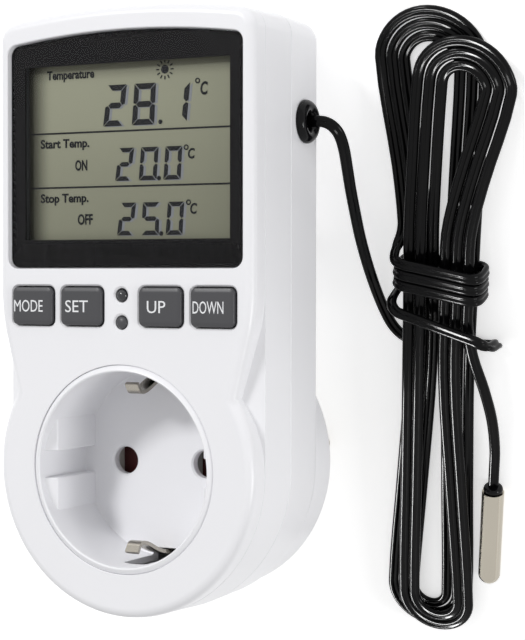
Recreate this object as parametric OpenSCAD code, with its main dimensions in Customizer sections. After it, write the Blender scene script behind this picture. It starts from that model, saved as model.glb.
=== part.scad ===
// Plug-in temperature controller with a socket, a display, a sensor cord and its probe.
// Millimetres. The housing is modelled in its own frame and laid down at the end:
// x across, y up the housing from the axis of socket and plug, z forward from the front face.
// At rest it lies on its back and leans on the plug's pins and the top edge of the rear shell.

/* [Housing] */
// Width of the housing at the joint line
body_w = 60; // [59:0.5:66]
// Height of the top edge above the socket's axis
body_top = 92.3; // [91.5:0.5:104]
// Depth of the front shell, from its face to the joint line
front_depth = 15.2; // [14:0.2:18]
// Depth of the housing behind the display
upper_depth = 29.5; // [29:0.5:33]
// Depth of the round base that carries the plug
base_depth = 37.2; // [36.8:0.2:42]
// Radius of the round base
base_r = 28.6; // [28.2:0.2:29.4]
// Taper of each shell away from the joint line
draft = 0.4; // [0.2:0.1:0.6]
// Wall thickness of the shells
wall = 2.2; // [1.8:0.1:2.4]
// Thickness of the front face
face_t = 2.6; // [2.3:0.1:2.6]
// Radius of the arched top edge
arch_r = 188; // [150:2:260]
// Radius of the top corners
corner_r = 4.6; // [4.4:0.2:7]
// Rounding of the front edges
front_round = 2; // [1:0.2:2.4]
// Rounding of the rear edges
rear_round = 3; // [2:0.2:3.2]
// Rounding of the round base's edge
base_round = 1.4; // [0.6:0.2:2]
// Height at which the sides of the front panel start to draw in
taper_y = 31; // [28:0.5:36]
// Height of the waist
waist_y = 14.8; // [13:0.2:17]
// Depth of the ledge beside the waist, at its outer edge
ledge_drop = 5; // [4:0.2:5.6]
// Rise of the ledge from its outer edge to the waist
ledge_rise = 2; // [1:0.2:2.6]

/* [Display] */
// Width of the black-framed lens
lens_w = 54.5; // [53:0.5:55]
// Height of the lens's bottom edge
lens_bottom = 39.9; // [39.5:0.1:40.5]
// Height of the lens's top edge at its middle
lens_top = 87.1; // [86.6:0.1:87.5]
// Radius of the lens's corners
lens_corner_r = 2.2; // [1:0.2:3]
// Thickness of the lens
lens_t = 1.2; // [0.8:0.1:1.3]
// Thickness of the black mask behind the lens
mask_t = 0.4; // [0.2:0.1:0.5]
// How far the lens lies below the front face
lens_sink = 0.15; // [0:0.05:0.3]
// Width of the clear window
window_w = 47.6; // [44:0.2:48.4]
// Height of the clear window
window_h = 35; // [32:0.2:35.6]
// Height of the clear window's middle
window_y = 63.2; // [62.8:0.1:63.6]
// Width of the liquid crystal cell
cell_w = 50; // [49.4:0.2:50.4]
// Height of the liquid crystal cell
cell_h = 39; // [38:0.2:39.4]
// Thickness of the liquid crystal cell
cell_t = 2.8; // [2:0.1:2.9]
// Height of the contact strips between cell and board
zebra_h = 3.5; // [3.3:0.1:3.7]

/* [Keys] */
// Width of a key
key_w = 9.6; // [8.6:0.1:10]
// Height of a key
key_h = 7.6; // [6.6:0.1:8.2]
// Radius of a key's corners
key_corner_r = 1.1; // [0.4:0.1:1.6]
// Height of the row of keys above the socket's axis
key_y = 32.35; // [32:0.05:32.7]
// Distance of the inner keys from the middle
key_inner = 9.15; // [9.05:0.05:9.25]
// Step from the inner to the outer keys
key_step = 11.75; // [11.6:0.05:11.8]
// How far a key stands out of the face
key_proud = 0.7; // [0.4:0.1:1.2]
// Gap around a key
key_gap = 0.25; // [0.2:0.05:0.3]
// Travel of a key
key_travel = 0.5; // [0.3:0.05:0.5]
// Width of the rim that holds a key behind the face
key_rim = 0.65; // [0.5:0.05:0.7]
// Diameter of the lamp and of the reset pin
dot_d = 2.6; // [2.2:0.1:3]
// Height of the lamp
lamp_y = 34.6; // [34.2:0.1:35]
// Height of the reset pin
reset_y = 29.2; // [28.8:0.1:29.6]

/* [Socket] */
// Outer radius of the socket's ring
ring_r = 20.8; // [20.6:0.1:21.4]
// Radius of the recess
recess_r = 19.45; // [19.3:0.05:19.6]
// Depth of the recess
recess_depth = 16.8; // [16.4:0.1:17.2]
// Distance between the two pin holes
pin_spacing = 19; // [18.6:0.1:19.4]
// Diameter of the pin holes
hole_d = 5.7; // [5.4:0.1:6]
// Thickness of the recess's floor
floor_t = 2; // [1.6:0.1:2.2]
// Distance of the guide ribs' flats from the middle
rib_x = 17; // [16.8:0.1:17.4]
// Height of the guide ribs, both together
rib_h = 19; // [17:0.2:20]
// Width of the slot between the guide ribs
rib_slot = 5.4; // [5:0.1:6]
// Depth at which the guide ribs' flats begin
rib_start = 3; // [2:0.2:4]
// Width of the earth springs
clip_w = 3; // [2.4:0.1:3.6]
// Thickness of the earth springs
clip_t = 0.8; // [0.6:0.1:1]
// Distance of the earth springs' crests from the middle
clip_crest = 14.4; // [14.2:0.1:15]
// Travel of the child shutter
shutter_travel = 5.8; // [5.6:0.1:6]

/* [Plug] */
// Diameter of the plug's body
plug_d = 37; // [36.4:0.1:37.4]
// Length of the plug's body
plug_len = 16.5; // [16:0.1:17.4]
// Diameter of a plug pin
pin_d = 4.8; // [4.6:0.1:5]
// Free length of a plug pin
pin_len = 19; // [18:0.1:19.5]
// Width across the plug's side flats
plug_flats = 33.2; // [33:0.1:34]
// Width of the earth strips on the plug
earth_w = 5; // [4.4:0.1:5.4]
// Thickness of the earth strips
earth_t = 1; // [0.8:0.1:1.1]

/* [Boards] */
// Thickness of the circuit boards
board_t = 1.6; // [1.2:0.1:1.7]
// Gap between the power board and the rear wall
board_gap = 1.6; // [1.4:0.1:1.8]
// Length of the relay
relay_l = 28.6; // [26:0.2:29.6]
// Width of the relay
relay_w = 10.2; // [9:0.1:10.6]
// Room between the relay and the display board
relay_room = 0.9; // [0.8:0.1:2]
// Diameter of the electrolytic capacitor
can_d = 8; // [6:0.1:8.6]
// Room between the electrolytic capacitor and the display board
can_room = 1.6; // [1:0.1:3]
// Length of the film capacitor
film_l = 18; // [15:0.1:18.6]
// Room between the surge arrester and the display board
varistor_room = 1.6; // [1:0.1:3]
// Length of the housing screws below the head
screw_len = 15; // [13:0.2:16]
// Core radius of the housing screws
screw_r = 1; // [0.9:0.02:1.04]

/* [Sensor cord] */
// Thickness at which the cord's solids are drawn
cord_d = 2; // [1.8:0.05:2.1]
// Radius of the grommet's dome
grommet_r = 4.4; // [4:0.1:4.8]
// How far the grommet stands out of the wall
grommet_proud = 1.7; // [1.4:0.1:2.2]
// Height of the grommet above the socket's axis
grommet_y = 69.3; // [68.9:0.1:69.7]
// Depth of the grommet behind the front face
grommet_z = 21.5; // [21.3:0.1:21.6]
// Diameter of the probe
probe_d = 5; // [4.6:0.1:5.2]
// Length of the probe
probe_len = 25; // [22:0.5:26]
// Length of the hank above its tie
hank_top = 58; // [56:1:60]
// Length of the hank below its tie
hank_bottom = 95; // [92:1:96]
// Lean of the hank to the right, in degrees
hank_lean = 11.4; // [10.8:0.1:12]
// Turns of the tie
tie_turns = 3; // [3:1:5]

/* [Hidden] */

$fn = 48;
// Overrun of every cut past the face that it opens
over = 0.5;
// Clearance of a fixed piece in its seat
fit = 0.15;
// Clearance all round a piece that turns or slides in a hole
run = 0.05;

white = "#F2F2F4";
grey = "#55575A";
black = "#1B1B1D";
brass = "#C8A24A";
nickel = "#C9C6BE";
steel = "#B9BBBE";
board_green = "#2E6B45";

half_w = body_w / 2;
plug_end = base_depth + plug_len;
pin_tip = plug_end + pin_len;
plug_r = plug_d / 2;
pin_x = pin_spacing / 2;

// The lean: pin tips and rounded top edge touch one plane
lean_a = pin_tip - pin_d / 2 - upper_depth + rear_round;
lean_b = body_top - draft - rear_round;
lean = acos((rear_round - pin_d / 2) / norm([lean_a, lean_b])) - atan2(lean_b, lean_a);
lift = (pin_tip - pin_d / 2) * cos(lean) + pin_d / 2;
// Reach of the laid down housing along its slope, which puts the origin in its middle
reach_top = (body_top - draft - front_round) * cos(lean) - front_round * sin(lean) + front_round;
reach_base = (base_r - base_round) * cos(lean) + (base_depth - base_round) * sin(lean) + base_round;
slope_mid = (reach_top - reach_base) / 2;

function laid(p) = [p[0], p[1] * cos(lean) + p[2] * sin(lean) - slope_mid,
    -p[1] * sin(lean) + p[2] * cos(lean) + lift];

module lay() {
    translate([0, -slope_mid, lift]) rotate([-lean, 0, 0]) children();
}

// Outlines

// Points of an arc about a centre, from one angle to another
function arc(c, r, from, to, steps) =
    [for (i = [0:steps]) let (a = from + (to - from) * i / steps) [c[0] + r * cos(a), c[1] + r * sin(a)]];

arch_y = body_top - arch_r;
corner_x = half_w - corner_r;
corner_y = arch_y + sqrt(pow(arch_r - corner_r, 2) - pow(corner_x, 2));
corner_turn = atan2(corner_y - arch_y, corner_x);
// Steps of the outline's arcs
round_steps = 28;
corner_steps = 5;
arch_steps = 8;
edge_steps = 4;

// The arched top with its corners, drawn in by i
function top_points(i) = concat(
    arc([corner_x, corner_y], max(corner_r - i, fit), 0, corner_turn, corner_steps),
    arc([0, arch_y], arch_r - i, corner_turn, 180 - corner_turn, arch_steps),
    arc([-corner_x, corner_y], max(corner_r - i, fit), 180 - corner_turn, 180, corner_steps));

// The whole housing, round at the bottom
function body_points(i) = concat(arc([0, 0], half_w - i, 180, 360, round_steps), top_points(i));

// The front panel above the waist, whose sides draw in to meet the round end
waist_x = sqrt(pow(half_w - draft, 2) - pow(waist_y, 2)) + draft;
function panel_points(i) = concat([[-waist_x + i, waist_y], [waist_x - i, waist_y], [half_w - i, taper_y]],
    top_points(i), [[-half_w + i, taper_y]]);

// A flat slab of an outline, from one depth to another
module slab(points, from, to) {
    translate([0, 0, -max(from, to)]) linear_extrude(abs(to - from)) polygon(points);
}

// A leaf is a layer so thin that a hull of leaves becomes a rounded body
leaf = 0.01;

module rounded_rect(w, h, r) {
    square([w - 2 * r, h], center = true);
    square([w, h - 2 * r], center = true);
    for (x = [-1, 1], y = [-1, 1]) translate([x * (w / 2 - r), y * (h / 2 - r)]) circle(r);
}

// A disc with a rounded rim at its far end, z from 0 to h
module rounded_disc(r, h, edge) {
    rotate_extrude() {
        square([r - edge, h]);
        square([r, h - edge]);
        translate([r - edge, h - edge]) intersection() {
            circle(edge);
            square(edge);
        }
    }
}

// A flat strip of metal or ribbon along a line of points, as an outline
function side(p, q) = let (d = q - p) [-d[1], d[0]] / norm(d);
function mitre(p, i) = let (
    a = side(p[max(i - 1, 0)], p[max(i, 1)]),
    b = side(p[min(i, len(p) - 2)], p[min(i + 1, len(p) - 1)])) (a + b) / (1 + a * b);
function band(p, t) = concat([for (i = [0:len(p) - 1]) p[i] + mitre(p, i) * t / 2],
    [for (i = [len(p) - 1:-1:0]) p[i] - mitre(p, i) * t / 2]);

// A tube along points, with flat ends square to its first and last stretch
function unit(v) = v / norm(v);
function heading(p, i) = unit(p[min(i + 1, len(p) - 1)] - p[max(i - 1, 0)]);
function carried(n, d) = unit(n - d * (n * d));
function frames(p, i, n) = i >= len(p) ? [] :
    let (d = heading(p, i), m = carried(n, d)) concat([[m, cross(d, m)]], frames(p, i + 1, m));
function ring_points(p, r, sides, first) = let (f = frames(p, 0, first)) [for (i = [0:len(p) - 1])
    for (j = [0:sides - 1]) let (a = 360 * (j + 1 / 2) / sides) p[i] + r * (cos(a) * f[i][0] + sin(a) * f[i][1])];
function ring_faces(n, sides) = concat(
    [for (i = [0:n - 2], j = [0:sides - 1]) let (a = i * sides + j, b = i * sides + (j + 1) % sides)
        [a, a + sides, b]],
    [for (i = [0:n - 2], j = [0:sides - 1]) let (a = i * sides + j, b = i * sides + (j + 1) % sides)
        [b, a + sides, b + sides]],
    [for (j = [1:sides - 2]) [0, j, j + 1]],
    [for (j = [1:sides - 2]) let (e = (n - 1) * sides) [e, e + j + 1, e + j]]);
module tube(p, r, sides, first) {
    polyhedron(ring_points(p, r, sides, first), ring_faces(len(p), sides), convexity = 10);
}

// Solids between two depths

// A cylinder between two depths behind the face
module peg(x, y, r, from, to) {
    translate([x, y, -max(from, to)]) cylinder(r = r, h = abs(to - from));
}
// A block about a middle, between two depths
module block(x, y, w, h, from, to) {
    translate([x, y, -(from + to) / 2]) cube([w, h, abs(to - from)], center = true);
}
module leaf_at(points, depth) {
    translate([0, 0, -depth - leaf]) linear_extrude(leaf) polygon(points);
}

// Depths behind the front face

mask_front = lens_sink + lens_t;
seat_depth = mask_front + mask_t;
holder_lip = 0.5;
cell_front = face_t + holder_lip;
cell_back = cell_front + cell_t;
board_front = cell_back + zebra_h;
board_back = board_front + board_t;
power_back = upper_depth - wall - board_gap;
power_front = power_back - board_t;
floor_back = recess_depth + floor_t;

// Housing screws: two in the top corners, two beside the socket
boss_r = 2.6;
boss_bore = screw_r + run;
column_r = 3;
head_r = 2.2;
head_t = 1.8;
head_room = 0.2;
head_seat = 22;
boss_in = 5.7;
screw_in = 8;
screw_low_turn = 46;
screw_low_in = 4.8;
screw_low_r = half_w - screw_low_in;
screw_places = [[half_w - screw_in, body_top - boss_in], [screw_in - half_w, body_top - boss_in],
    screw_low_r * [sin(screw_low_turn), -cos(screw_low_turn)],
    screw_low_r * [-sin(screw_low_turn), -cos(screw_low_turn)]];

// Posts and screws of the two boards
post_r = 1.7;
post_hole = 4.4;
board_screw_r = 0.7;
board_screw_len = 3.2;
board_head_r = 1.4;
board_head_t = 1;
display_post_in = 5.6;
display_post_up = 6.65;
display_post_down = 6.55;
display_post_mid = 15;
display_posts = [[half_w - display_post_in, key_y + display_post_up],
    [display_post_in - half_w, key_y + display_post_up],
    [display_post_mid, key_y - display_post_down], [-display_post_mid, key_y - display_post_down]];
power_post_in = 9;
power_post_x = half_w - power_post_in;
power_post_mid = 5;
power_post_low = 34.6;
power_post_top = 79.6;
power_posts = [[power_post_x, power_post_low], [-power_post_x, power_post_low],
    [power_post_x, power_post_top], [-power_post_mid, power_post_top]];

// The lens follows the arch of the housing
lens_arch_r = arch_r - body_top + lens_top;
function lens_points(i) = let (
    cx = lens_w / 2 - lens_corner_r,
    cy = arch_y + sqrt(pow(lens_arch_r - lens_corner_r, 2) - pow(cx, 2)),
    turn = atan2(cy - arch_y, cx), r = lens_corner_r - i, low = lens_bottom + lens_corner_r) concat(
    arc([-cx, low], r, 180, 270, corner_steps), arc([cx, low], r, 270, 360, corner_steps),
    arc([cx, cy], r, 0, turn, corner_steps), arc([0, arch_y], lens_arch_r - i, turn, 180 - turn, arch_steps),
    arc([-cx, cy], r, 180 - turn, 180, corner_steps));

// The shells

grommet_bore = 3.25;
wall_at_grommet = half_w - draft * (grommet_z - front_depth) / (upper_depth - rear_round - front_depth);
flange_w = 2;
flange_t = 1.2;
shelf_margin = 0.8;
// The round faces stay this far inside the corners of the outline beside them
step_in = 0.1;

module front_shell_solid() {
    hull() {
        leaf_at(body_points(0), front_depth - leaf);
        leaf_at(body_points(draft), ledge_drop);
        leaf_at(body_points(half_w - waist_x + draft), ledge_drop - ledge_rise);
    }
    hull() {
        leaf_at(panel_points(draft + step_in / 2), ledge_drop + over);
        for (i = [0:edge_steps]) let (a = 90 * i / edge_steps)
            leaf_at(panel_points(draft + step_in / 2 + front_round * (1 - cos(a))),
                max(front_round * (1 - sin(a)) - leaf, 0));
    }
    translate([0, 0, -ledge_drop - over]) rounded_disc(half_w - draft - step_in, ledge_drop + over, front_round);
}

module front_housing() lay() color(white) difference() {
    union() {
        difference() {
            front_shell_solid();
            slab(body_points(draft + wall), ledge_drop + wall, front_depth + over);
            slab(panel_points(draft + wall + run), face_t, ledge_drop + wall + over);
            peg(0, 0, half_w - draft - wall - step_in, face_t, ledge_drop + wall + over);
        }
        for (p = screw_places) peg(p[0], p[1], boss_r, face_t - leaf, front_depth);
        for (p = display_posts) peg(p[0], p[1], post_r, face_t - leaf, board_front);
    }
    slab(lens_points(0), -over, seat_depth);
    block(0, window_y, window_w + 2 * shelf_margin, window_h + 2 * shelf_margin, 0, face_t + over);
    for (x = key_xs) translate([x, key_y, -face_t - over]) linear_extrude(face_t + 2 * over)
        rounded_rect(key_w + 2 * key_gap, key_h + 2 * key_gap, key_corner_r + key_gap);
    for (y = [lamp_y, reset_y]) peg(0, y, dot_d / 2 + fit, -over, face_t + over);
    peg(0, 0, ring_r + fit, -over, face_t + over);
    for (p = screw_places) peg(p[0], p[1], boss_bore, head_seat - head_t - screw_len, front_depth + over);
    for (p = display_posts) peg(p[0], p[1], board_screw_r + run, board_front - post_hole, board_front + over);
}

// Side notches of the plug, which clear the guide ribs of a wall socket
plug_rib_w = 5;
plug_notch_h = 19.4;
plug_end_t = 2.2;
plug_chamfer = 1;
pin_column_r = 4.2;
pin_root_r = 2.1;
plate_t = 2;
plate_front = base_depth;
plate_back = plate_front + plate_t;
strip_y = plug_r - 0.2;
strip_end = 1.6;

// The plug's body is an insert: it passes through the base's rear wall and its flange lies on the inside of it
plug_flange_w = 1.8;
plug_flange_t = 1.6;
module plug_body() lay() color(white) difference() {
    union() {
        difference() {
            union() {
                peg(0, 0, plug_r, base_depth - wall - leaf, plug_end - plug_chamfer);
                translate([0, 0, -plug_end]) cylinder(r1 = plug_r - plug_chamfer, r2 = plug_r, h = plug_chamfer);
                peg(0, 0, plug_r + plug_flange_w, base_depth - wall - plug_flange_t, base_depth - wall);
            }
            peg(0, 0, plug_r - wall, base_depth - wall - plug_flange_t - over, plug_end - plug_end_t);
        }
        for (x = [-pin_x, pin_x]) peg(x, 0, pin_column_r, plate_back, plug_end - plug_end_t + leaf);
    }
    for (x = [-pin_x, pin_x]) peg(x, 0, pin_root_r + run / 2, base_depth, plug_end + over);
    for (s = [-1, 1]) {
        block(0, s * (strip_y + plug_r + plug_flange_w + over - earth_t - run) / 2, earth_w + 2 * fit,
            plug_r + plug_flange_w + over - strip_y + earth_t + run, base_depth - wall - plug_flange_t - over,
            plug_end - strip_end + fit);
        for (t = [-1, 1]) block(s * (plug_flats + plug_d) / 4 + s * over / 2,
            t * (plug_rib_w + plug_notch_h) / 4, (plug_d - plug_flats) / 2 + over, (plug_notch_h - plug_rib_w) / 2,
            base_depth, plug_end + over);
    }
}

module rear_housing() lay() color(white) difference() {
    union() {
        difference() {
            union() {
                hull() {
                    leaf_at(body_points(0), front_depth);
                    for (i = [0:edge_steps]) let (a = 90 * i / edge_steps)
                        leaf_at(body_points(draft + rear_round * (1 - cos(a))),
                            upper_depth - rear_round * (1 - sin(a)) - leaf);
                }
                mirror([0, 0, 1]) translate([0, 0, upper_depth - over])
                    rounded_disc(base_r, base_depth - upper_depth + over, base_round);
            }
            slab(body_points(draft + wall), front_depth - over, upper_depth - wall);
            peg(0, 0, base_r - wall, front_depth, base_depth - wall);
            peg(0, 0, plug_r + fit, front_depth, base_depth + over);
        }
        for (p = [screw_places[0], screw_places[1]]) peg(p[0], p[1], column_r, front_depth, upper_depth - wall + leaf);
        for (p = [screw_places[2], screw_places[3]]) peg(p[0], p[1], column_r, front_depth, base_depth - wall + leaf);
        for (p = power_posts) peg(p[0], p[1], post_r, power_back, upper_depth - wall + leaf);
    }
    for (p = screw_places) {
        peg(p[0], p[1], screw_r + fit, front_depth - over, base_depth + over);
        peg(p[0], p[1], head_r + head_room, head_seat, base_depth + over);
    }
    for (p = power_posts) peg(p[0], p[1], board_screw_r + run, power_back - over, power_front + post_hole);
    translate([half_w - 3 * wall, grommet_y, -grommet_z]) rotate([0, 90, 0]) cylinder(r = grommet_bore, h = 4 * wall);
}

// The display

module display_lens() lay() color("#30343A", 0.35) slab(lens_points(fit), lens_sink, mask_front);

module display_mask() lay() color(black) difference() {
    slab(lens_points(fit), mask_front, seat_depth);
    block(0, window_y, window_w, window_h, mask_front - over, seat_depth + over);
}

module lcd_cell() lay() color("#8B8C7C") block(0, window_y, cell_w, cell_h, cell_front, cell_back);

zebra_w = 1.5;
reflector_t = 2;
module lcd_reflector() lay() color("#D8DAD2")
    block(0, window_y, cell_w - 2 * zebra_w, cell_h - 2 * zebra_w - 4 * fit, cell_back, cell_back + reflector_t);

holder_wall = 1;
module lcd_holder() lay() color("#E4E4E0") difference() {
    block(0, window_y, cell_w + 2 * holder_wall + 2 * fit, cell_h + 2 * holder_wall + 2 * fit, face_t, board_front);
    block(0, window_y, cell_w - 2 * holder_wall, cell_h - 2 * holder_wall, face_t - over, cell_front);
    block(0, window_y, cell_w + 2 * fit, cell_h + 2 * fit, cell_front, board_front + over);
}

module zebra_strips() lay() color("#C96F86") for (s = [-1, 1])
    block(0, window_y + s * (cell_h - zebra_w) / 2, cell_w - 2 * zebra_w, zebra_w, cell_back, board_front);

board_in = 4;
board_low = 8.3;
board_high = 20.6;
module board_outline(low, high, w, from, to) {
    block(0, (low + high) / 2, w, high - low, from, to);
}
module display_board() lay() color(board_green) difference() {
    board_outline(key_y - board_low, window_y + board_high, body_w - 2 * board_in, board_front, board_back);
    for (p = display_posts) peg(p[0], p[1], board_screw_r + run, board_front - over, board_back + over);
}

chip_w = 10;
chip_t = 1.2;
chip_at = [8, 62];
module control_chip() lay() color(black) block(chip_at[0], chip_at[1], chip_w, chip_w, board_back, board_back + chip_t);

// Keys and their switches

key_xs = [-key_inner - key_step, -key_inner, key_inner, key_inner + key_step];
switch_w = 6;
reset_switch_w = 4.4;
switch_t = 3.5;
switch_rise = 1.5;
plunger_r = 1.7;
reset_plunger_r = 1.2;
plunger_in = 0.8;
plunger_room = 0.4;
rim_t = 1;
rim_gap = 0.1;
stem_r = 1.5;
switch_front = board_front - switch_t;
plunger_front = switch_front - switch_rise;

module key_switches() lay() color("#2B2B2D") difference() {
    union() {
        for (x = key_xs) block(x, key_y, switch_w, switch_w, switch_front, board_front);
        block(0, reset_y, reset_switch_w, reset_switch_w, switch_front, board_front);
    }
    for (x = key_xs) peg(x, key_y, plunger_r + run, switch_front - over, switch_front + plunger_in + key_travel + plunger_room);
    peg(0, reset_y, reset_plunger_r + run, switch_front - over, switch_front + plunger_in + key_travel + plunger_room);
}

module key_cap(x) {
    rim_front = face_t + rim_gap;
    translate([x, key_y, -rim_front]) linear_extrude(rim_front + key_proud) rounded_rect(key_w, key_h, key_corner_r);
    block(x, key_y, key_w + 2 * key_rim, key_h + 2 * key_rim, rim_front, rim_front + rim_t);
    peg(x, key_y, stem_r, rim_front, plunger_front);
}
module plunger(x, y, r) {
    peg(x, y, r, plunger_front, switch_front + plunger_in);
}
module button_mode() lay() color(grey) key_cap(key_xs[0]);
module button_set() lay() color(grey) key_cap(key_xs[1]);
module button_up() lay() color(grey) key_cap(key_xs[2]);
module button_down() lay() color(grey) key_cap(key_xs[3]);
module plunger_mode() lay() color(black) plunger(key_xs[0], key_y, plunger_r);
module plunger_set() lay() color(black) plunger(key_xs[1], key_y, plunger_r);
module plunger_up() lay() color(black) plunger(key_xs[2], key_y, plunger_r);
module plunger_down() lay() color(black) plunger(key_xs[3], key_y, plunger_r);
module plunger_reset() lay() color(black) plunger(0, reset_y, reset_plunger_r);

reset_rim = 0.6;
reset_rim_t = 0.8;
reset_sink = 0.1;
module reset_button() lay() color(grey) {
    peg(0, reset_y, dot_d / 2, reset_sink, face_t + rim_gap);
    peg(0, reset_y, dot_d / 2 + reset_rim, face_t + rim_gap, face_t + rim_gap + reset_rim_t);
    peg(0, reset_y, reset_plunger_r, face_t + rim_gap, plunger_front);
}

lamp_proud = 0.35;
lamp_base = 5;
lamp_rim = 0.3;
lamp_rim_t = 1;
lamp_leg = 0.5;
lamp_pitch = 2.54 / 2;
module status_lamp() lay() color("#6E7073") {
    translate([0, lamp_y, lamp_proud - dot_d / 2]) sphere(dot_d / 2);
    peg(0, lamp_y, dot_d / 2, dot_d / 2 - lamp_proud, lamp_base);
    peg(0, lamp_y, dot_d / 2 + lamp_rim, lamp_base - lamp_rim_t, lamp_base);
    for (s = [-1, 1]) block(s * lamp_pitch / 2, lamp_y, lamp_leg, lamp_leg, lamp_base - leaf, board_front);
}

// The socket

ring_proud = 0.3;
ring_sink = 0.3;
rib_lead = 0.8;
slot_w = 5;
slot_front = 7;
slot_in = 1.8;
slot_skin = 0.6;
module guide_ribs() {
    h = (rib_h - rib_slot) / 2;
    intersection() {
        peg(0, 0, recess_r + leaf, 0, recess_depth + leaf);
        for (s = [0, 180], t = [-1, 1]) rotate([0, 0, s]) translate([0, t * (rib_slot + h) / 2, 0]) rotate([90, 0, 0])
            linear_extrude(h, center = true) polygon([[rib_x, -rib_start], [ring_r, -rib_start + (ring_r - rib_x) * rib_lead],
                [ring_r, -recess_depth - over], [rib_x, -recess_depth - over]]);
    }
}
module socket_insert() lay() color(white) difference() {
    union() {
        rotate_extrude() polygon([[0, -floor_back], [ring_r, -floor_back], [ring_r, -face_t - flange_t],
            [ring_r + flange_w, -face_t - flange_t], [ring_r + flange_w, -face_t], [ring_r, -face_t],
            [ring_r, -ring_sink], [recess_r, ring_proud], [recess_r, -recess_depth], [0, -recess_depth]]);
        guide_ribs();
    }
    for (x = [-pin_x, pin_x]) peg(x, 0, hole_d / 2, recess_depth - over, floor_back + over);
    for (s = [-1, 1]) block(0, s * (recess_r - slot_in + ring_r - slot_skin) / 2, slot_w,
        ring_r - slot_skin - recess_r + slot_in, slot_front, floor_back + over);
}

// Child shutter: two ramps on a frame that slides sideways when both pins push at once
ramp_w = 6.4;
ramp_h = 6;
rail_w = 1.8;
rail_t = 1.3;
ramp_low = 0.7;
shutter_front = floor_back + fit;
shutter_t = 3.3;
shutter_back = shutter_front + shutter_t;
cover_back = shutter_back + fit;
cover_t = 1.2;
cover_wall = 1.2;
spring_post_x = 3.2;
spring_post_w = 1.4;
module child_shutter() lay() color("#7E1A1C") {
    for (x = [-pin_x, pin_x]) translate([x, 0, 0]) rotate([90, 0, 0]) linear_extrude(ramp_h, center = true)
        polygon([[-ramp_w / 2, -shutter_back], [ramp_w / 2, -shutter_back], [ramp_w / 2, -shutter_front],
            [-ramp_w / 2, -shutter_back + ramp_low]]);
    for (s = [-1, 1]) block(0, s * (ramp_h + rail_w) / 2, pin_spacing + ramp_w, rail_w + leaf, shutter_back - rail_t, shutter_back);
}

pocket_left = pin_x + ramp_w / 2 + fit;
pocket_right = pocket_left + shutter_travel;
pocket_h = ramp_h + 2 * rail_w + 2 * fit;
module shutter_cover() lay() color("#DEDEDC") {
    difference() {
        block((pocket_right - pocket_left) / 2, 0, pocket_left + pocket_right + 2 * cover_wall,
            pocket_h + 2 * cover_wall, floor_back, cover_back + cover_t);
        block((pocket_right - pocket_left) / 2, 0, pocket_left + pocket_right, pocket_h, floor_back - over, cover_back);
        for (x = [-pin_x, pin_x]) peg(x, 0, hole_d / 2 + fit, cover_back - over, cover_back + cover_t + over);
    }
    block(spring_post_x, 0, spring_post_w, ramp_h - 2 * fit, floor_back + fit, cover_back + leaf);
}

// A small compression spring between the left ramp and the cover's post
spring_wire = 0.35;
spring_coil_r = 1.15;
spring_turns = 6;
spring_sides = 6;
spring_rings = 8;
spring_from = ramp_w / 2 - pin_x + fit;
spring_to = spring_post_x - spring_post_w / 2 - fit;
spring_mid = (shutter_front + shutter_back) / 2;
function spring_point(s) = let (a = 360 * spring_turns * s, margin = spring_wire)
    [spring_from + margin + (spring_to - spring_from - 2 * margin) * s, spring_coil_r * sin(a), -spring_mid + spring_coil_r * cos(a)];
module shutter_spring() lay() color(steel)
    tube([for (i = [0:spring_turns * spring_rings]) spring_point(i / (spring_turns * spring_rings))],
        spring_wire / 2, spring_sides, [0, 0, 1]);

// Earth: one strip behind the socket carries both springs and meets the strips on the plug
bracket_front = cover_back + cover_t;
bracket_back = bracket_front + clip_t;
clip_root = recess_r - 0.95;
clip_knee = 14.5;
clip_crest_depth = 5.8;
clip_tip = clip_crest + 2.6;
clip_tip_depth = 4;
module earth_bracket() lay() color(nickel) {
    block(0, 0, earth_w, 2 * clip_root + clip_t, bracket_front, bracket_back);
    for (s = [0, 1]) mirror([0, s, 0]) rotate([90, 0, 90]) linear_extrude(clip_w, center = true)
        polygon(band([[clip_root, -bracket_back + leaf], [clip_root, -clip_knee], [clip_crest, -clip_crest_depth],
            [clip_tip, -clip_tip_depth]], clip_t));
}

contact_gap = 0.3;
contact_wall = 0.85;
contact_end_t = 0.9;
contact_back = plate_front - contact_gap;
contact_slit = 1;
module contact(x) {
    difference() {
        peg(x, 0, pin_d / 2 + run + contact_wall, bracket_front + contact_gap, contact_back);
        peg(x, 0, pin_d / 2 + run, bracket_front, contact_back - contact_end_t);
        block(x, -pin_d / 2 - contact_wall, contact_slit, pin_d / 2 + contact_wall, bracket_front, contact_back - 2 * contact_end_t);
    }
}
module contact_line() lay() color(brass) contact(-pin_x);
module contact_neutral() lay() color(brass) contact(pin_x);

// The plug

module pin_plate() lay() color("#E8E8E6") difference() {
    peg(0, 0, plug_r - wall - fit, plate_front, plate_back);
    for (x = [-pin_x, pin_x]) peg(x, 0, pin_root_r + run / 2, plate_front - over, plate_back + over);
}
module plug_pin(x) {
    peg(x, 0, pin_root_r, contact_back, plug_end + leaf);
    peg(x, 0, pin_d / 2, plug_end, pin_tip - pin_d / 2);
    translate([x, 0, pin_d / 2 - pin_tip]) sphere(pin_d / 2);
}
module plug_pin_line() lay() color(nickel) plug_pin(-pin_x);
module plug_pin_neutral() lay() color(nickel) plug_pin(pin_x);
module plug_earth_strips() lay() color(nickel) for (s = [-1, 1])
    block(0, s * (strip_y - earth_t / 2), earth_w, earth_t, bracket_back, plug_end - strip_end);

// The power board and what it carries

power_in = 5;
power_low = 31.5;
power_high = 8.9;
module power_board() lay() color(board_green) difference() {
    board_outline(power_low, body_top - power_high, body_w - 2 * power_in, power_front, power_back);
    for (p = power_posts) peg(p[0], p[1], board_screw_r + run, power_front - over, power_back + over);
}

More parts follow.
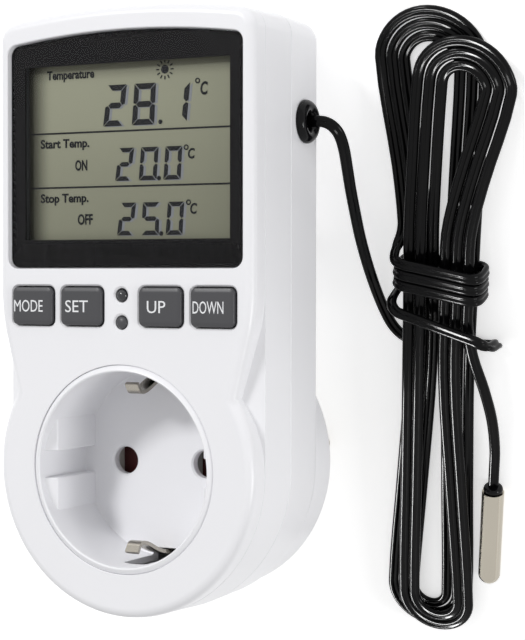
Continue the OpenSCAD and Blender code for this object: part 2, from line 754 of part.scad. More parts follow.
relay_h = power_front - board_back - relay_room;
relay_in = 12.9;
relay_at = [relay_in - half_w, 52.3];
module relay() lay() color("#1D1F22") block(relay_at[0], relay_at[1], relay_w, relay_l, power_front - relay_h, power_front);

film_at = [0, 43.2];
film_w = 14.5;
film_room = 4.6;
film_t = power_front - board_back - film_room;
module film_capacitor() lay() color("#C9A227") block(film_at[0], film_at[1], film_l, film_w, power_front - film_t, power_front);

can_h = power_front - board_back - can_room;
can_in = 13;
can_at = [half_w - can_in, 41.4];
module smoothing_capacitor() lay() color("#20242C") peg(can_at[0], can_at[1], can_d / 2, power_front - can_h, power_front);

varistor_in = 12;
varistor_at = [varistor_in - half_w, 74.6];
varistor_t = 4;
varistor_rise = 1.5;
varistor_d = power_front - board_back - varistor_rise - varistor_room;
varistor_leg = 0.8;
varistor_pitch = 5;
module varistor() lay() color("#2B5C9E") {
    translate([varistor_at[0], varistor_at[1], -power_front + varistor_rise + varistor_d / 2]) rotate([0, 90, 0])
        cylinder(r = varistor_d / 2, h = varistor_t, center = true);
    for (s = [-1, 1]) block(varistor_at[0], varistor_at[1] + s * varistor_pitch / 2, varistor_leg, varistor_leg,
        power_front - varistor_rise - varistor_d / 4, power_front);
}

fuse_at = [-6, 61.5];
fuse_r = 2;
fuse_l = 11;
fuse_leg = 0.6;
module fuse() lay() color("#D9D2C0") {
    translate([fuse_at[0], fuse_at[1], -power_front + fuse_r + fit]) rotate([90, 0, 0])
        cylinder(r = fuse_r, h = fuse_l, center = true);
    for (s = [-1, 1]) block(fuse_at[0], fuse_at[1] + s * (fuse_l - fuse_leg) / 2, fuse_leg, fuse_leg,
        power_front - fuse_r, power_front);
}

bridge_at = [4, 60];
bridge_w = 7;
bridge_t = 3;
module bridge_rectifier() lay() color(black) block(bridge_at[0], bridge_at[1], bridge_w, bridge_w, power_front - bridge_t, power_front);

connector_in = 11;
connector_x = half_w - connector_in;
connector_w = 7;
connector_h = 6;
connector_t = 6;
module sensor_connector() lay() color("#EFEDE2")
    block(connector_x, grommet_y, connector_w, connector_h, power_front - connector_t, power_front);

grommet_seat = wall_at_grommet + fit;
grommet_lip_t = 1.2;
grommet_end = half_w - draft - wall - fit - grommet_lip_t;
module sensor_inner_lead() lay() color(black) translate([connector_x + connector_w / 2, grommet_y, -grommet_z])
    rotate([0, 90, 0]) cylinder(r = cord_d / 2, h = grommet_end - connector_x - connector_w / 2);

ribbon_at = 7;
ribbon_w = 10;
ribbon_t = 0.6;
ribbon_y = 33.5;
ribbon_bow = 0.8;
module ribbon_cable() lay() color("#B9BDC4") let (mid = (board_back + power_front) / 2)
    translate([ribbon_at, 0, 0]) rotate([90, 0, 90]) linear_extrude(ribbon_w, center = true)
        polygon(band([[ribbon_y, -board_back], [ribbon_y, -board_back - ribbon_bow], [ribbon_y - ribbon_bow, -mid],
            [ribbon_y, -power_front + ribbon_bow], [ribbon_y, -power_front]], ribbon_t));

// Wires from the socket's contacts to the edge of the power board
wire_r = 0.9;
wire_sides = 8;
wire_x = 12;
wire_clear = 3.1;
wire_depth = base_depth - wall - wire_clear - wire_r;
wire_edge = power_front + board_t / 2;
contact_side = pin_d / 2 + run + contact_wall;
wire_shares = [[0, 0, 0], [0, 0.1, 0], [0.6, 0.33, 0], [1, 0.53, 0.28], [1, 0.68, 0.82], [1, 0.84, 1], [1, 1, 1]];
function wire_points(s) = [for (w = wire_shares) [s * (pin_x + (wire_x - pin_x) * w[0]),
    contact_side + (power_low - contact_side) * w[1], -wire_depth + (wire_depth - wire_edge) * w[2]]];
module wire_line() lay() color("#6B4026") tube(wire_points(-1), wire_r, wire_sides, [1, 0, 0]);
module wire_neutral() lay() color("#2A56A8") tube(wire_points(1), wire_r, wire_sides, [1, 0, 0]);

module board_screws() lay() color(steel) {
    for (p = display_posts) {
        peg(p[0], p[1], board_head_r, board_back, board_back + board_head_t);
        peg(p[0], p[1], board_screw_r, board_back - board_screw_len, board_back + leaf);
    }
    for (p = power_posts) {
        peg(p[0], p[1], board_head_r, power_front - board_head_t, power_front);
        peg(p[0], p[1], board_screw_r, power_front - leaf, power_front + board_screw_len);
    }
}

drive_r = 1;
drive_depth = 0.9;
module housing_screws() lay() color(steel) for (p = screw_places) difference() {
    union() {
        peg(p[0], p[1], head_r, head_seat, head_seat + head_t);
        peg(p[0], p[1], screw_r, head_seat - screw_len, head_seat + leaf);
    }
    block(p[0], p[1], 2 * drive_r, drive_r / 2, head_seat + head_t - drive_depth, head_seat + head_t + over);
    block(p[0], p[1], drive_r / 2, 2 * drive_r, head_seat + head_t - drive_depth, head_seat + head_t + over);
}

// Grommet: a snap-in ring whose dome has a mouth for the cord
mouth_r = 1.8;
mouth_floor = 0.3;
grommet_neck = grommet_bore - fit;
grommet_lip_r = 4;
dome_steps = 6;
module cable_grommet() lay() color(black) translate([0, grommet_y, -grommet_z]) rotate([0, 90, 0]) {
    difference() {
        translate([0, 0, grommet_seat]) rotate_extrude() polygon(concat([[0, 0], [grommet_r - fit, 0]],
            [for (i = [0:dome_steps]) let (a = 180 * i / dome_steps, w = (grommet_r - mouth_r + fit) / 2)
                [mouth_r - fit + w + w * cos(a), fit + (grommet_proud - fit) * sin(a)]], [[0, fit]]));
        translate([0, 0, grommet_seat + mouth_floor]) cylinder(r = mouth_r - fit, h = grommet_proud);
    }
    translate([0, 0, grommet_end + leaf]) cylinder(r = grommet_neck, h = grommet_seat - grommet_end);
    translate([0, 0, grommet_end]) cylinder(r = grommet_lip_r, h = grommet_lip_t);
}

// The cord lies in loops tied at the waist. u runs up the hank from its tie, v to its right.
tie_at = [47.2, -8];
axis_u = [sin(hank_lean), cos(hank_lean)];
axis_v = [cos(hank_lean), -sin(hank_lean)];
function hanked(p) = let (q = tie_at + p[0] * axis_u + p[1] * axis_v) [q[0], q[1], p[2]];

cord_gap = 0.55;
cord_step = cord_d + cord_gap;
cord_low = cord_d / 2 + run;
loop_rings = 24;
loop_turn = 30;
fold_rings = 6;

// Loops spiral in on the lower layer, climb along a run, and spiral out on the upper layer
loops_in = 3;
loops_all = 5.5;
top_min_r = 4;
bottom_min_r = 3.4;
waist_min = 0.9;
waist_lift = cord_step + fit;
plateau_top = 12;
plateau_bottom = 22;
run_top = 24;
run_bottom = 52;
// The lower loops lean left of the upper ones, whose tops reach less far, as a bow's do
fan_top = 3.5;
fan_bottom = 1.5;
top_drop = 3;
climb_from = loops_in - 3 / loop_rings;
climb_to = loops_in + 3 / loop_rings;
function ease(q) = let (s = min(1, max(0, q))) s * s * (3 - 2 * s);
function rank(t) = abs(loops_in - t);
function layer_z(t) = cord_low + cord_step * ease((t - climb_from) / (climb_to - climb_from));
bottom_centre = hank_bottom - bottom_min_r - loops_in * cord_step;
function fold_centre(end, t) = end < 0 ? bottom_centre :
    hank_top - top_min_r - loops_in * cord_step - (t > loops_in ? top_drop : 0);
function fan(end, t) = (end > 0 ? fan_top : fan_bottom) * (t > loops_in ? 1 : -1);
// A place on a run: u, the side, and the turn that it belongs to
function on_run(u, s, t) = let (
    waist = waist_min + rank(t) * cord_step,
    fold = (u > 0 ? top_min_r : bottom_min_r) + rank(t) * cord_step,
    far = fold_centre(u, t), flat = u > 0 ? plateau_top : plateau_bottom,
    q = ease((abs(u) - flat) / (far - flat)))
    [u, s * (waist + (fold - waist) * q) + fan(u, t) * q, layer_z(t) + waist_lift * (1 - q)];
function on_fold(end, turn, t) = let (r = (end > 0 ? top_min_r : bottom_min_r) + rank(t) * cord_step)
    [end * fold_centre(end, t) + r * sin(turn), r * cos(turn) + fan(end, t), layer_z(t)];
function loop_point(g) = let (t = g / loop_rings, j = g % loop_rings)
    j <= 2 ? on_run([0, plateau_top, run_top][j], -1, t) :
    j <= 3 + fold_rings ? on_fold(1, 180 - loop_turn * (j - 3), t) :
    j <= 11 ? on_run([run_top, plateau_top][j - 10], 1, t) :
    j <= 14 ? on_run([0, -plateau_bottom, -run_bottom][j - 12], 1, t) :
    j <= 15 + fold_rings ? on_fold(-1, -loop_turn * (j - 15), t) :
    on_run([-run_bottom, -plateau_bottom][j - 22], -1, t);

// The tie winds round all the runs at the waist, after one loose turn below it
tie_from = -2.5;
tie_bend = 2.5;
tie_low = cord_low + fit;
tie_high = cord_low + waist_lift + 2 * cord_step;
tie_left = waist_min + (loops_in - 1) * cord_step + cord_step + fit;
tie_right = waist_min + (loops_all - loops_in) * cord_step + cord_step + fit;
loose_drop = 16;
loose_width = 4.5;
function oval(i, w, low, high) =
    i <= 5 ? [w * (2 * i / 5 - 1), low - tie_bend] :
    i <= 8 ? [w + tie_bend * sin(loop_turn * (i - 5)), low - tie_bend * cos(loop_turn * (i - 5))] :
    i <= 12 ? [w + tie_bend * cos(loop_turn * (i - 9)), high + tie_bend * sin(loop_turn * (i - 9))] :
    i <= 17 ? [w * (1 - 2 * (i - 12) / 5), high + tie_bend] :
    i <= 20 ? [-w - tie_bend * sin(loop_turn * (i - 17)), high + tie_bend * cos(loop_turn * (i - 17))] :
    [-w - tie_bend * cos(loop_turn * (i - 21)), low - tie_bend * sin(loop_turn * (i - 21))];
function tie_point(g) = let (s = g / loop_rings - 1, loose = max(0, -s),
    w = (tie_left + tie_right) / 2 - tie_bend + loose_width * loose,
    o = oval(g % loop_rings, w, tie_low + tie_bend, tie_high - tie_bend))
    [tie_from + (s < 0 ? loose_drop : cord_step) * s, (tie_right - tie_left) / 2 + o[0], o[1]];
tie_first = 2;
tie_last = loop_rings * tie_turns + 17;

// The tail leaves the waist for the probe, which lies beside the loops
tail_route = [[-9, 7.3, 6.3], [-16, 8.8, 6.4], [-24, 11.2, 5.4], [-32, 12.8, 4], [-40, 13.4, 2.8]];
probe_v = 13.4;
probe_u = -50;
probe_at = [probe_u, probe_v, probe_d / 2 + run];
function bezier(a, b, c, d, s) = let (r = 1 - s) r * r * r * a + 3 * r * r * s * b + 3 * r * s * s * c + s * s * s * d;
rise_reach = 5;
rise_rings = 5;
hank_in = tie_point(tie_first);
hank_entry = unit(tie_point(tie_first + 1) - hank_in);
function hank_route() = let (
    last = tie_point(tie_last), out = unit(last - tie_point(tie_last - 1)),
    start = loop_point(1), on = unit(loop_point(2) - start))
    [for (p = concat([hank_in - cord_step * hank_entry],
        [for (g = [tie_first:tie_last]) tie_point(g)],
        [for (i = [1:rise_rings - 1])
            bezier(last, last + rise_reach * out, start - rise_reach * on, start, i / rise_rings)],
        [for (g = [1:loop_rings * loops_all]) loop_point(g)],
        tail_route, [probe_at + [2 * cord_d, 0, 0], probe_at])) hanked(p)];

// Least gap of the cord to itself, from each point to each stretch that isn't its neighbour
near_rings = 4;
function to_stretch(p, a, b) = let (d = b - a, s = min(1, max(0, (p - a) * d / (d * d)))) norm(p - a - s * d);
function least_gap(p) = min([for (i = [0:len(p) - 1], j = [0:len(p) - 2])
    if (abs(i - j) > near_rings) to_stretch(p[i], p[j], p[j + 1])]) - cord_d;
function length_of(p, i = 0, sum = 0) = i >= len(p) - 1 ? sum : length_of(p, i + 1, sum + norm(p[i + 1] - p[i]));
form_sides = 6;
module sensor_hank() color(black) {
    route = hank_route();
    echo(least_gap = least_gap(route), hank_length = length_of(route), rings = len(route));
    tube(route, cord_d / 2, form_sides, [0, 0, 1]);
}

// The lead from the grommet down to the hank; its points are places above the surface
lead_sides = 8;
lead_from = laid([grommet_seat + mouth_floor, grommet_y, -grommet_z]);
lead_to = hanked(hank_in - cord_step * hank_entry);
lead_heading = lead_to - hanked(hank_in - 2 * cord_step * hank_entry);
lead_route = [[34.1, 32.4, 15.9], [35.5, 31.3, 15.6], [36.3, 29.3, 15.1], [36.3, 26, 14.3], [35.6, 21.5, 13.1],
    [34.7, 16, 11.7], [33.9, 10, 10.2], [33.2, 4, 8.7], [32.7, -2, 7], [32.4, -7.5, 5.3], [32.3, -12.5, 3.7],
    [32.5, -17, 2.3], [33.2, -20.3, 1.6], [34.7, -22.8, 1.2]];
module sensor_lead() color(black) {
    route = concat([lead_from, lead_from + [cord_d, 0, 0]], lead_route,
        [lead_to - lead_heading, lead_to]);
    echo(lead_length = length_of(route), rings = len(route));
    tube(route, cord_d / 2, lead_sides, [0, 0, 1]);
}

// The probe: a steel sleeve on a black seal
seal_r = 2.2;
seal_len = 1.5;
seal_neck = 3;
seal_neck_r = 1.9;
tip_steps = 6;
module probing() {
    translate(hanked(probe_at)) rotate([90, 0, -hank_lean]) children();
}
module probe_seal() probing() color(black) {
    cylinder(r = seal_r, h = seal_len);
    translate([0, 0, seal_len - leaf]) cylinder(r = seal_neck_r, h = seal_neck);
}
module probe_tube() probing() color(steel) translate([0, 0, seal_len]) difference() {
    union() {
        cylinder(r = probe_d / 2, h = probe_len - probe_d / 2);
        translate([0, 0, probe_len - probe_d / 2]) sphere(probe_d / 2);
    }
    translate([0, 0, -over]) cylinder(r = seal_neck_r + run, h = seal_neck + 2 * over);
}

front_housing();
rear_housing();
display_lens();
display_mask();
lcd_cell();
lcd_reflector();
lcd_holder();
zebra_strips();
display_board();
control_chip();
key_switches();
button_mode();
button_set();
button_up();
button_down();
reset_button();
plunger_mode();
plunger_set();
plunger_up();
plunger_down();
plunger_reset();
status_lamp();
socket_insert();
child_shutter();
shutter_cover();
shutter_spring();
earth_bracket();
contact_line();
contact_neutral();
plug_body();
pin_plate();
plug_pin_line();
plug_pin_neutral();
plug_earth_strips();
power_board();
relay();
film_capacitor();
smoothing_capacitor();
varistor();
fuse();
bridge_rectifier();
sensor_connector();
sensor_inner_lead();
ribbon_cable();
wire_line();
wire_neutral();
board_screws();
housing_screws();
cable_grommet();
sensor_lead();
sensor_hank();
probe_seal();
probe_tube();
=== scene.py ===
from math import acos, atan2, cos, hypot, pi, radians, sin, sqrt

import bmesh
import bpy
from bpy.props import FloatProperty, FloatVectorProperty, PointerProperty, StringProperty
from mathutils import Matrix, Vector


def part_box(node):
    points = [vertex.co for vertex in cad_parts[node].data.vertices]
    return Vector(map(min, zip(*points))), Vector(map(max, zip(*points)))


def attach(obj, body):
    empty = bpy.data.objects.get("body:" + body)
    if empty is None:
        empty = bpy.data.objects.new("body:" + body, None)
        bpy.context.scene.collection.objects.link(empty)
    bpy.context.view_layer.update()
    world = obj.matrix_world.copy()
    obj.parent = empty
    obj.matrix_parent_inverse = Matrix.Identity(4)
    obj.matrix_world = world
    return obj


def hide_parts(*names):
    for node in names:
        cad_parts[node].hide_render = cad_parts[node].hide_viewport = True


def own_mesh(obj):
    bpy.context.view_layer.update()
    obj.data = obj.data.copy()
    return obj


bl_info = {
    "name": "Plug-in Temperature Controller",
    "version": (1, 0, 0),
    "blender": (4, 5, 0),
    "location": "3D View > Sidebar > Controller",
    "description": "Plug-in temperature controller with socket, display, keys and a tied sensor cord",
    "category": "Object",
}

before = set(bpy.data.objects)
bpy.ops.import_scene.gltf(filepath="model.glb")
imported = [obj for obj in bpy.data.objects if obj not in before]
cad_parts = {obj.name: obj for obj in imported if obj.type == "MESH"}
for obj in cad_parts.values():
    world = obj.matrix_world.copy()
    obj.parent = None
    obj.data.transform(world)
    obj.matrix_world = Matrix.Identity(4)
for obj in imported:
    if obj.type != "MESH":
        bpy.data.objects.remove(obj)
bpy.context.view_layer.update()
MM = 0.001
SCENE = bpy.context.scene

# The housing's own frame: millimetres, x across, y up from the socket's axis, z forward from the face
HALF_WIDTH, TOP, JOINT, DEPTH = 30.0, 92.3, 15.2, 29.5
BASE_RADIUS, BASE_DEPTH, BASE_ROUND = 28.6, 37.2, 1.4
DRAFT, WALL, FRONT_ROUND, REAR_ROUND = 0.4, 2.2, 2.0, 3.0
PIN_TIP, PIN_RADIUS = 72.7, 2.4

# That frame is laid on the plug's pin tips and on the housing's top rear edge
EDGE_UP, PIN_BEYOND = TOP - DRAFT - REAR_ROUND, PIN_TIP - PIN_RADIUS - (DEPTH - REAR_ROUND)
LEAN = acos((REAR_ROUND - PIN_RADIUS) / hypot(PIN_BEYOND, EDGE_UP)) - atan2(EDGE_UP, PIN_BEYOND)
LIFT = (PIN_TIP - PIN_RADIUS) * cos(LEAN) + PIN_RADIUS
HIGH_END = (TOP - DRAFT - FRONT_ROUND) * cos(LEAN) - FRONT_ROUND * sin(LEAN) + FRONT_ROUND
LOW_END = (BASE_RADIUS - BASE_ROUND) * cos(LEAN) + (BASE_DEPTH - BASE_ROUND) * sin(LEAN) + BASE_ROUND
LAID = (Matrix.Translation(Vector((0, (LOW_END - HIGH_END) / 2, LIFT)) * MM) @ Matrix.Rotation(-LEAN, 4, "X")
        @ Matrix.Scale(MM, 4))
FLAT = Matrix.Scale(MM, 4)

# Heights of the waist and of the place where the sides reach full width again, and the rounding there
WAIST, TAPER, TAPER_ROUND = 14.8, 31.0, 4.0
# The lens's corners, the chamfers at the joint, and how far solids run past each other before they are cut
LENS_CORNER, CHAMFER, OVER = 2.2, 0.14, 0.5
# Heights of the lamp and the reset pin, and where the switches and the display's cell have their front
LAMP_Y, RESET_Y, SWITCH_FRONT, CELL_FRONT = 34.6, 29.2, -4.4, -3.1


class HousingSizes(bpy.types.PropertyGroup):
    """Sizes of the two shells, measured from the socket's axis and behind the front face"""
    half_width: FloatProperty(name="Half width", description="Half of the width at the joint line",
                              default=HALF_WIDTH * MM, unit="LENGTH")
    top: FloatProperty(name="Top", description="Height of the arched top edge above the socket's axis",
                       default=TOP * MM, unit="LENGTH")
    joint: FloatProperty(name="Joint line", description="Depth of the joint line behind the face",
                         default=JOINT * MM, unit="LENGTH")
    depth: FloatProperty(name="Depth", description="Depth of the housing behind the display",
                         default=DEPTH * MM, unit="LENGTH")
    base_depth: FloatProperty(name="Base depth", description="Depth of the round base",
                              default=BASE_DEPTH * MM, unit="LENGTH")
    base_radius: FloatProperty(name="Base radius", description="Radius of the round base",
                               default=BASE_RADIUS * MM, unit="LENGTH")
    draft: FloatProperty(name="Draft", description="Taper of each shell away from the joint line",
                         default=DRAFT * MM, unit="LENGTH")
    wall: FloatProperty(name="Wall", description="Thickness of the walls", default=WALL * MM, unit="LENGTH")
    face: FloatProperty(name="Face", description="Thickness of the front face", default=0.0026, unit="LENGTH")
    corner: FloatProperty(name="Corner radius", description="Radius of the top corners",
                          default=0.0046, unit="LENGTH")
    arch: FloatProperty(name="Arch radius", description="Radius of the top edge's arch",
                        default=0.188, unit="LENGTH")
    front_round: FloatProperty(name="Front rounding", description="Rounding of the front edges",
                               default=FRONT_ROUND * MM, unit="LENGTH")
    rear_round: FloatProperty(name="Rear rounding", description="Rounding of the rear edges",
                              default=REAR_ROUND * MM, unit="LENGTH")
    ledge: FloatProperty(name="Ledge", description="Depth of the ledge beside the waist",
                         default=0.005, unit="LENGTH")
    shade: FloatVectorProperty(name="Shell colour", description="Colour of the white ABS, as sRGB",
                               subtype="COLOR", size=3, default=(0.945, 0.945, 0.955))


class DisplaySizes(bpy.types.PropertyGroup):
    """Sizes of the display and of what it shows"""
    lens_width: FloatProperty(name="Lens width", description="Width of the black-framed lens",
                              default=0.0545, unit="LENGTH")
    lens_bottom: FloatProperty(name="Lens bottom", description="Height of the lens's lower edge",
                               default=0.0399, unit="LENGTH")
    lens_top: FloatProperty(name="Lens top", description="Height of the lens's arched upper edge",
                            default=0.0871, unit="LENGTH")
    window_width: FloatProperty(name="Window width", description="Width of the clear window",
                                default=0.0476, unit="LENGTH")
    window_height: FloatProperty(name="Window height", description="Height of the clear window",
                                 default=0.035, unit="LENGTH")
    window_middle: FloatProperty(name="Window middle", description="Height of the window's middle",
                                 default=0.0632, unit="LENGTH")
    measured: StringProperty(name="Upper number", description="Number shown in the upper row", default="28.1")
    lower_limit: StringProperty(name="Middle number", description="Number shown in the middle row",
                                default="20.0")
    upper_limit: StringProperty(name="Lower number", description="Number shown in the lower row",
                                default="25.0")


class SocketSizes(bpy.types.PropertyGroup):
    """Sizes of the socket and of the plug behind it"""
    ring: FloatProperty(name="Ring radius", description="Outer radius of the socket's ring",
                        default=0.0208, unit="LENGTH")
    recess: FloatProperty(name="Recess radius", description="Radius of the recess",
                          default=0.01945, unit="LENGTH")
    recess_depth: FloatProperty(name="Recess depth", description="Depth of the recess",
                                default=0.0168, unit="LENGTH")
    pin_place: FloatProperty(name="Pin place", description="Distance of each pin from the axis",
                             default=0.0095, unit="LENGTH")
    hole: FloatProperty(name="Pin hole", description="Diameter of the pin holes", default=0.0057, unit="LENGTH")
    plug: FloatProperty(name="Plug", description="Diameter of the plug's body", default=0.037, unit="LENGTH")


class KeySizes(bpy.types.PropertyGroup):
    """Sizes of the keys, the lamp and the reset pin"""
    width: FloatProperty(name="Key width", description="Width of a key", default=0.0096, unit="LENGTH")
    height: FloatProperty(name="Key height", description="Height of a key", default=0.0076, unit="LENGTH")
    proud: FloatProperty(name="Proud", description="How far a key stands out", default=0.0007, unit="LENGTH")
    row: FloatProperty(name="Row", description="Height of the row of keys", default=0.03235, unit="LENGTH")
    inner: FloatProperty(name="Inner keys", description="Distance of the inner keys from the middle",
                         default=0.00915, unit="LENGTH")
    step: FloatProperty(name="Step", description="Step from inner to outer keys",
                        default=0.01175, unit="LENGTH")
    dot: FloatProperty(name="Dot", description="Diameter of the lamp and the reset pin",
                       default=0.0026, unit="LENGTH")


class CordSizes(bpy.types.PropertyGroup):
    """Sizes of the flat twin lead and of the probe at its end"""
    width: FloatProperty(name="Lead width", description="Width of the flat twin lead",
                         default=0.0024, unit="LENGTH")
    thickness: FloatProperty(name="Lead thickness", description="Thickness of the flat twin lead",
                             default=0.0013, unit="LENGTH")
    probe: FloatProperty(name="Probe", description="Diameter of the probe", default=0.005, unit="LENGTH")
    probe_length: FloatProperty(name="Probe length", description="Length of the probe's sleeve",
                                default=0.025, unit="LENGTH")


def sizes(group):
    """A property group's lengths in millimetres, by name, its words and colours as they are"""
    found = {}
    for key in group.__annotations__:
        value = getattr(group, key)
        found[key] = value * 1000 if isinstance(value, float) else value
    return found


# Meshes: working objects in millimetres

def solid(bm, name):
    """A working object in millimetres, for joining and cutting"""
    bmesh.ops.remove_doubles(bm, verts=bm.verts, dist=1e-4)
    bmesh.ops.recalc_face_normals(bm, faces=bm.faces)
    mesh = bpy.data.meshes.new(name)
    bm.to_mesh(mesh)
    bm.free()
    obj = bpy.data.objects.new(name, mesh)
    SCENE.collection.objects.link(obj)
    return obj


def settle(obj):
    """Applies an object's modifiers to its mesh"""
    deps = bpy.context.evaluated_depsgraph_get()
    mesh = bpy.data.meshes.new_from_object(obj.evaluated_get(deps))
    old = obj.data
    obj.modifiers.clear()
    obj.data = mesh
    bpy.data.meshes.remove(old)


def discard(obj):
    """Removes a working object that has gone into another"""
    mesh = obj.data
    bpy.data.objects.remove(obj)
    bpy.data.meshes.remove(mesh)


def combine(target, operation, *others):
    """Joins other solids to a target, or cuts them out of it, and removes them"""
    for other in others:
        change = target.modifiers.new(operation, "BOOLEAN")
        change.operation = operation
        change.object = other
        change.solver = "MANIFOLD"
    settle(target)
    for other in others:
        discard(other)


def join(target, *others):
    """Adds the loose meshes of others to a target, without cutting"""
    bm = bmesh.new()
    bm.from_mesh(target.data)
    for other in others:
        bm.from_mesh(other.data)
        discard(other)
    bm.to_mesh(target.data)
    bm.free()
    return target


def finish(obj, name, finish_name, body, replaces=(), edge=0.0, angle=35, place=LAID):
    """Puts a working object into place as a piece: rounded edges, smooth shading, finish and body"""
    obj.name = obj.data.name = name
    if edge:
        bevel = obj.modifiers.new("edges", "BEVEL")
        bevel.width, bevel.segments, bevel.miter_outer = edge, 2, "MITER_ARC"
        bevel.limit_method, bevel.angle_limit = "ANGLE", radians(angle)
        settle(obj)
    obj.data.transform(place)
    obj.data.shade_smooth()
    obj.data.set_sharp_from_angle(angle=radians(angle))
    shading = obj.modifiers.new("shading", "WEIGHTED_NORMAL")
    shading.keep_sharp = True
    settle(obj)
    obj.data.materials.clear()
    obj.data.materials.append(finish_named(finish_name))
    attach(obj, body)
    if replaces:
        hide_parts(*replaces)
    return obj


def even_turns(whole, count):
    """Angles from 0 to a whole turn in even steps"""
    return [whole * i / count for i in range(count + 1)]


def rounding(radius, count):
    """Steps that turn an upright wall into a flat top with a quarter round"""
    turns = even_turns(pi / 2, count)
    return [(radius * (cos(a) - cos(b)), radius * (sin(b) - sin(a))) for a, b in zip(turns, turns[1:])]


def raised(bm, face, steps):
    """Raises a face by insets: each step draws its outline in and moves it along its normal"""
    for inward, up in steps:
        bmesh.ops.inset_region(bm, faces=[face], thickness=inward, depth=up, use_even_offset=True,
                               use_boundary=True)


def rod(x, y, radius, low, high, sides):
    """A cylinder between two heights"""
    bm = bmesh.new()
    bmesh.ops.create_cone(bm, cap_ends=True, segments=sides, radius1=radius, radius2=radius, depth=high - low,
                          matrix=Matrix.Translation((x, y, (low + high) / 2)))
    return solid(bm, "rod")


def brick(x, y, width, height, low, high):
    """A block about a middle, between two heights"""
    bm = bmesh.new()
    bmesh.ops.create_cube(bm, size=1, matrix=Matrix.Translation((x, y, (low + high) / 2))
                          @ Matrix.Diagonal((width, height, high - low, 1)))
    return solid(bm, "brick")


def plate_outline(width, height, corner, x, y, z):
    """A bmesh with one rounded rectangle as its face"""
    bm = bmesh.new()
    bmesh.ops.create_grid(bm, x_segments=1, y_segments=1, size=0.5,
                          matrix=Matrix.Translation((x, y, z)) @ Matrix.Diagonal((width, height, 1, 1)))
    bmesh.ops.bevel(bm, geom=bm.verts[:], offset=corner, affect="VERTICES", segments=7, profile=0.5, material=-1)
    return bm


def turned(profile, sides=96, at=(0, 0)):
    """A profile of points (radius, height) spun about an upright axis at a place (x, y)"""
    bm = bmesh.new()
    verts = [bm.verts.new((r, 0, z)) for r, z in profile]
    edges = [bm.edges.new(pair) for pair in zip(verts, verts[1:])]
    bmesh.ops.spin(bm, geom=verts + edges, cent=(0, 0, 0), axis=(0, 0, 1), angle=2 * pi, steps=sides,
                   use_merge=True)
    made = solid(bm, "turned")
    made.data.transform(Matrix.Translation((*at, 0)))
    return made


def bore(radius, out, down, mouth, low, at=(0, 0), sides=96):
    """A round cutter that widens at the mouth of its hole and runs on past it"""
    return turned([(0, mouth + OVER), (radius + out, mouth + OVER), (radius + out, mouth), (radius, mouth - down),
                   (radius, low), (0, low)], sides, at)


def arcs(bm, start, turns):
    """Spins a vertex on through a chain of arcs (centre x, centre y, angle, steps) and gives the last vertex"""
    for x, y, turn, steps in turns:
        made = bmesh.ops.spin(bm, geom=[start], cent=(x, y, start.co.z), axis=(0, 0, 1), angle=turn, steps=steps)
        start = next(v for v in made["geom_last"] if isinstance(v, bmesh.types.BMVert))
    return start


def arched_top(bm, before, inward, half, centre, arch, corner, steps):
    """Carries an outline on up the right side and over round corners and an arched top to the left side"""
    x = half - corner
    y = centre + sqrt((arch - corner) ** 2 - x ** 2)
    turn, z = atan2(y - centre, x), before.co.z
    corner_steps, arch_steps = steps
    right = bm.verts.new((x + max(corner - inward, 0.15), y, z))
    bm.edges.new((before, right))
    last = arcs(bm, right, [(x, y, turn, corner_steps)])
    last.co = (arch - inward) * Vector((cos(turn), sin(turn), 0)) + Vector((0, centre, z))
    return arcs(bm, last, [(0, centre, pi - 2 * turn, arch_steps), (-x, y, turn, corner_steps)])


def body_outline(h, inward, z):
    """A bmesh with the whole housing's outline as one face, round at the bottom, arched at the top"""
    bm = bmesh.new()
    half = h["half_width"]
    first = bm.verts.new((inward - half, 0, z))
    low_right = arcs(bm, first, [(0, 0, pi, 72)])
    last = arched_top(bm, low_right, inward, half, h["top"] - h["arch"], h["arch"], h["corner"], (9, 20))
    bm.edges.new((last, first))
    bmesh.ops.edgeloop_fill(bm, edges=bm.edges[:])
    return bm


def face_outline(h, inward, z):
    """The front panel's outline: it draws in below the keys and meets the round end at the waist"""
    bm = bmesh.new()
    half = h["half_width"]
    radius = half - inward
    open_half = acos(WAIST / radius)
    first = bm.verts.new((-radius * sin(open_half), WAIST, z))
    end = arcs(bm, first, [(0, 0, 2 * (pi - open_half), 84)])
    bend_right = bm.verts.new((radius, TAPER, z))
    bm.edges.new((end, bend_right))
    last = arched_top(bm, bend_right, inward, half, h["top"] - h["arch"], h["arch"], h["corner"], (9, 20))
    bend_left = bm.verts.new((-radius, TAPER, z))
    bm.edges.new((last, bend_left))
    bm.edges.new((bend_left, first))
    bmesh.ops.edgeloop_fill(bm, edges=bm.edges[:])
    bmesh.ops.bevel(bm, geom=[bend_right, bend_left], offset=TAPER_ROUND, affect="VERTICES", segments=5,
                    profile=0.5, material=-1)
    return bm


def lens_outline(h, d, inward, z):
    """The lens's outline, whose top follows the arch of the housing"""
    bm = bmesh.new()
    half, centre, arch = d["lens_width"] / 2, h["top"] - h["arch"], h["arch"] - h["top"] + d["lens_top"]
    x, low, corner = half - LENS_CORNER, d["lens_bottom"] + LENS_CORNER, LENS_CORNER - inward
    first = bm.verts.new((-x - corner, low, z))
    low_left = arcs(bm, first, [(-x, low, pi / 2, 8)])
    low_right = bm.verts.new((x, low - corner, z))
    bm.edges.new((low_left, low_right))
    side = arcs(bm, low_right, [(x, low, pi / 2, 8)])
    last = arched_top(bm, side, inward, half, centre, arch, LENS_CORNER, (8, 16))
    bm.edges.new((last, first))
    bmesh.ops.edgeloop_fill(bm, edges=bm.edges[:])
    return bm


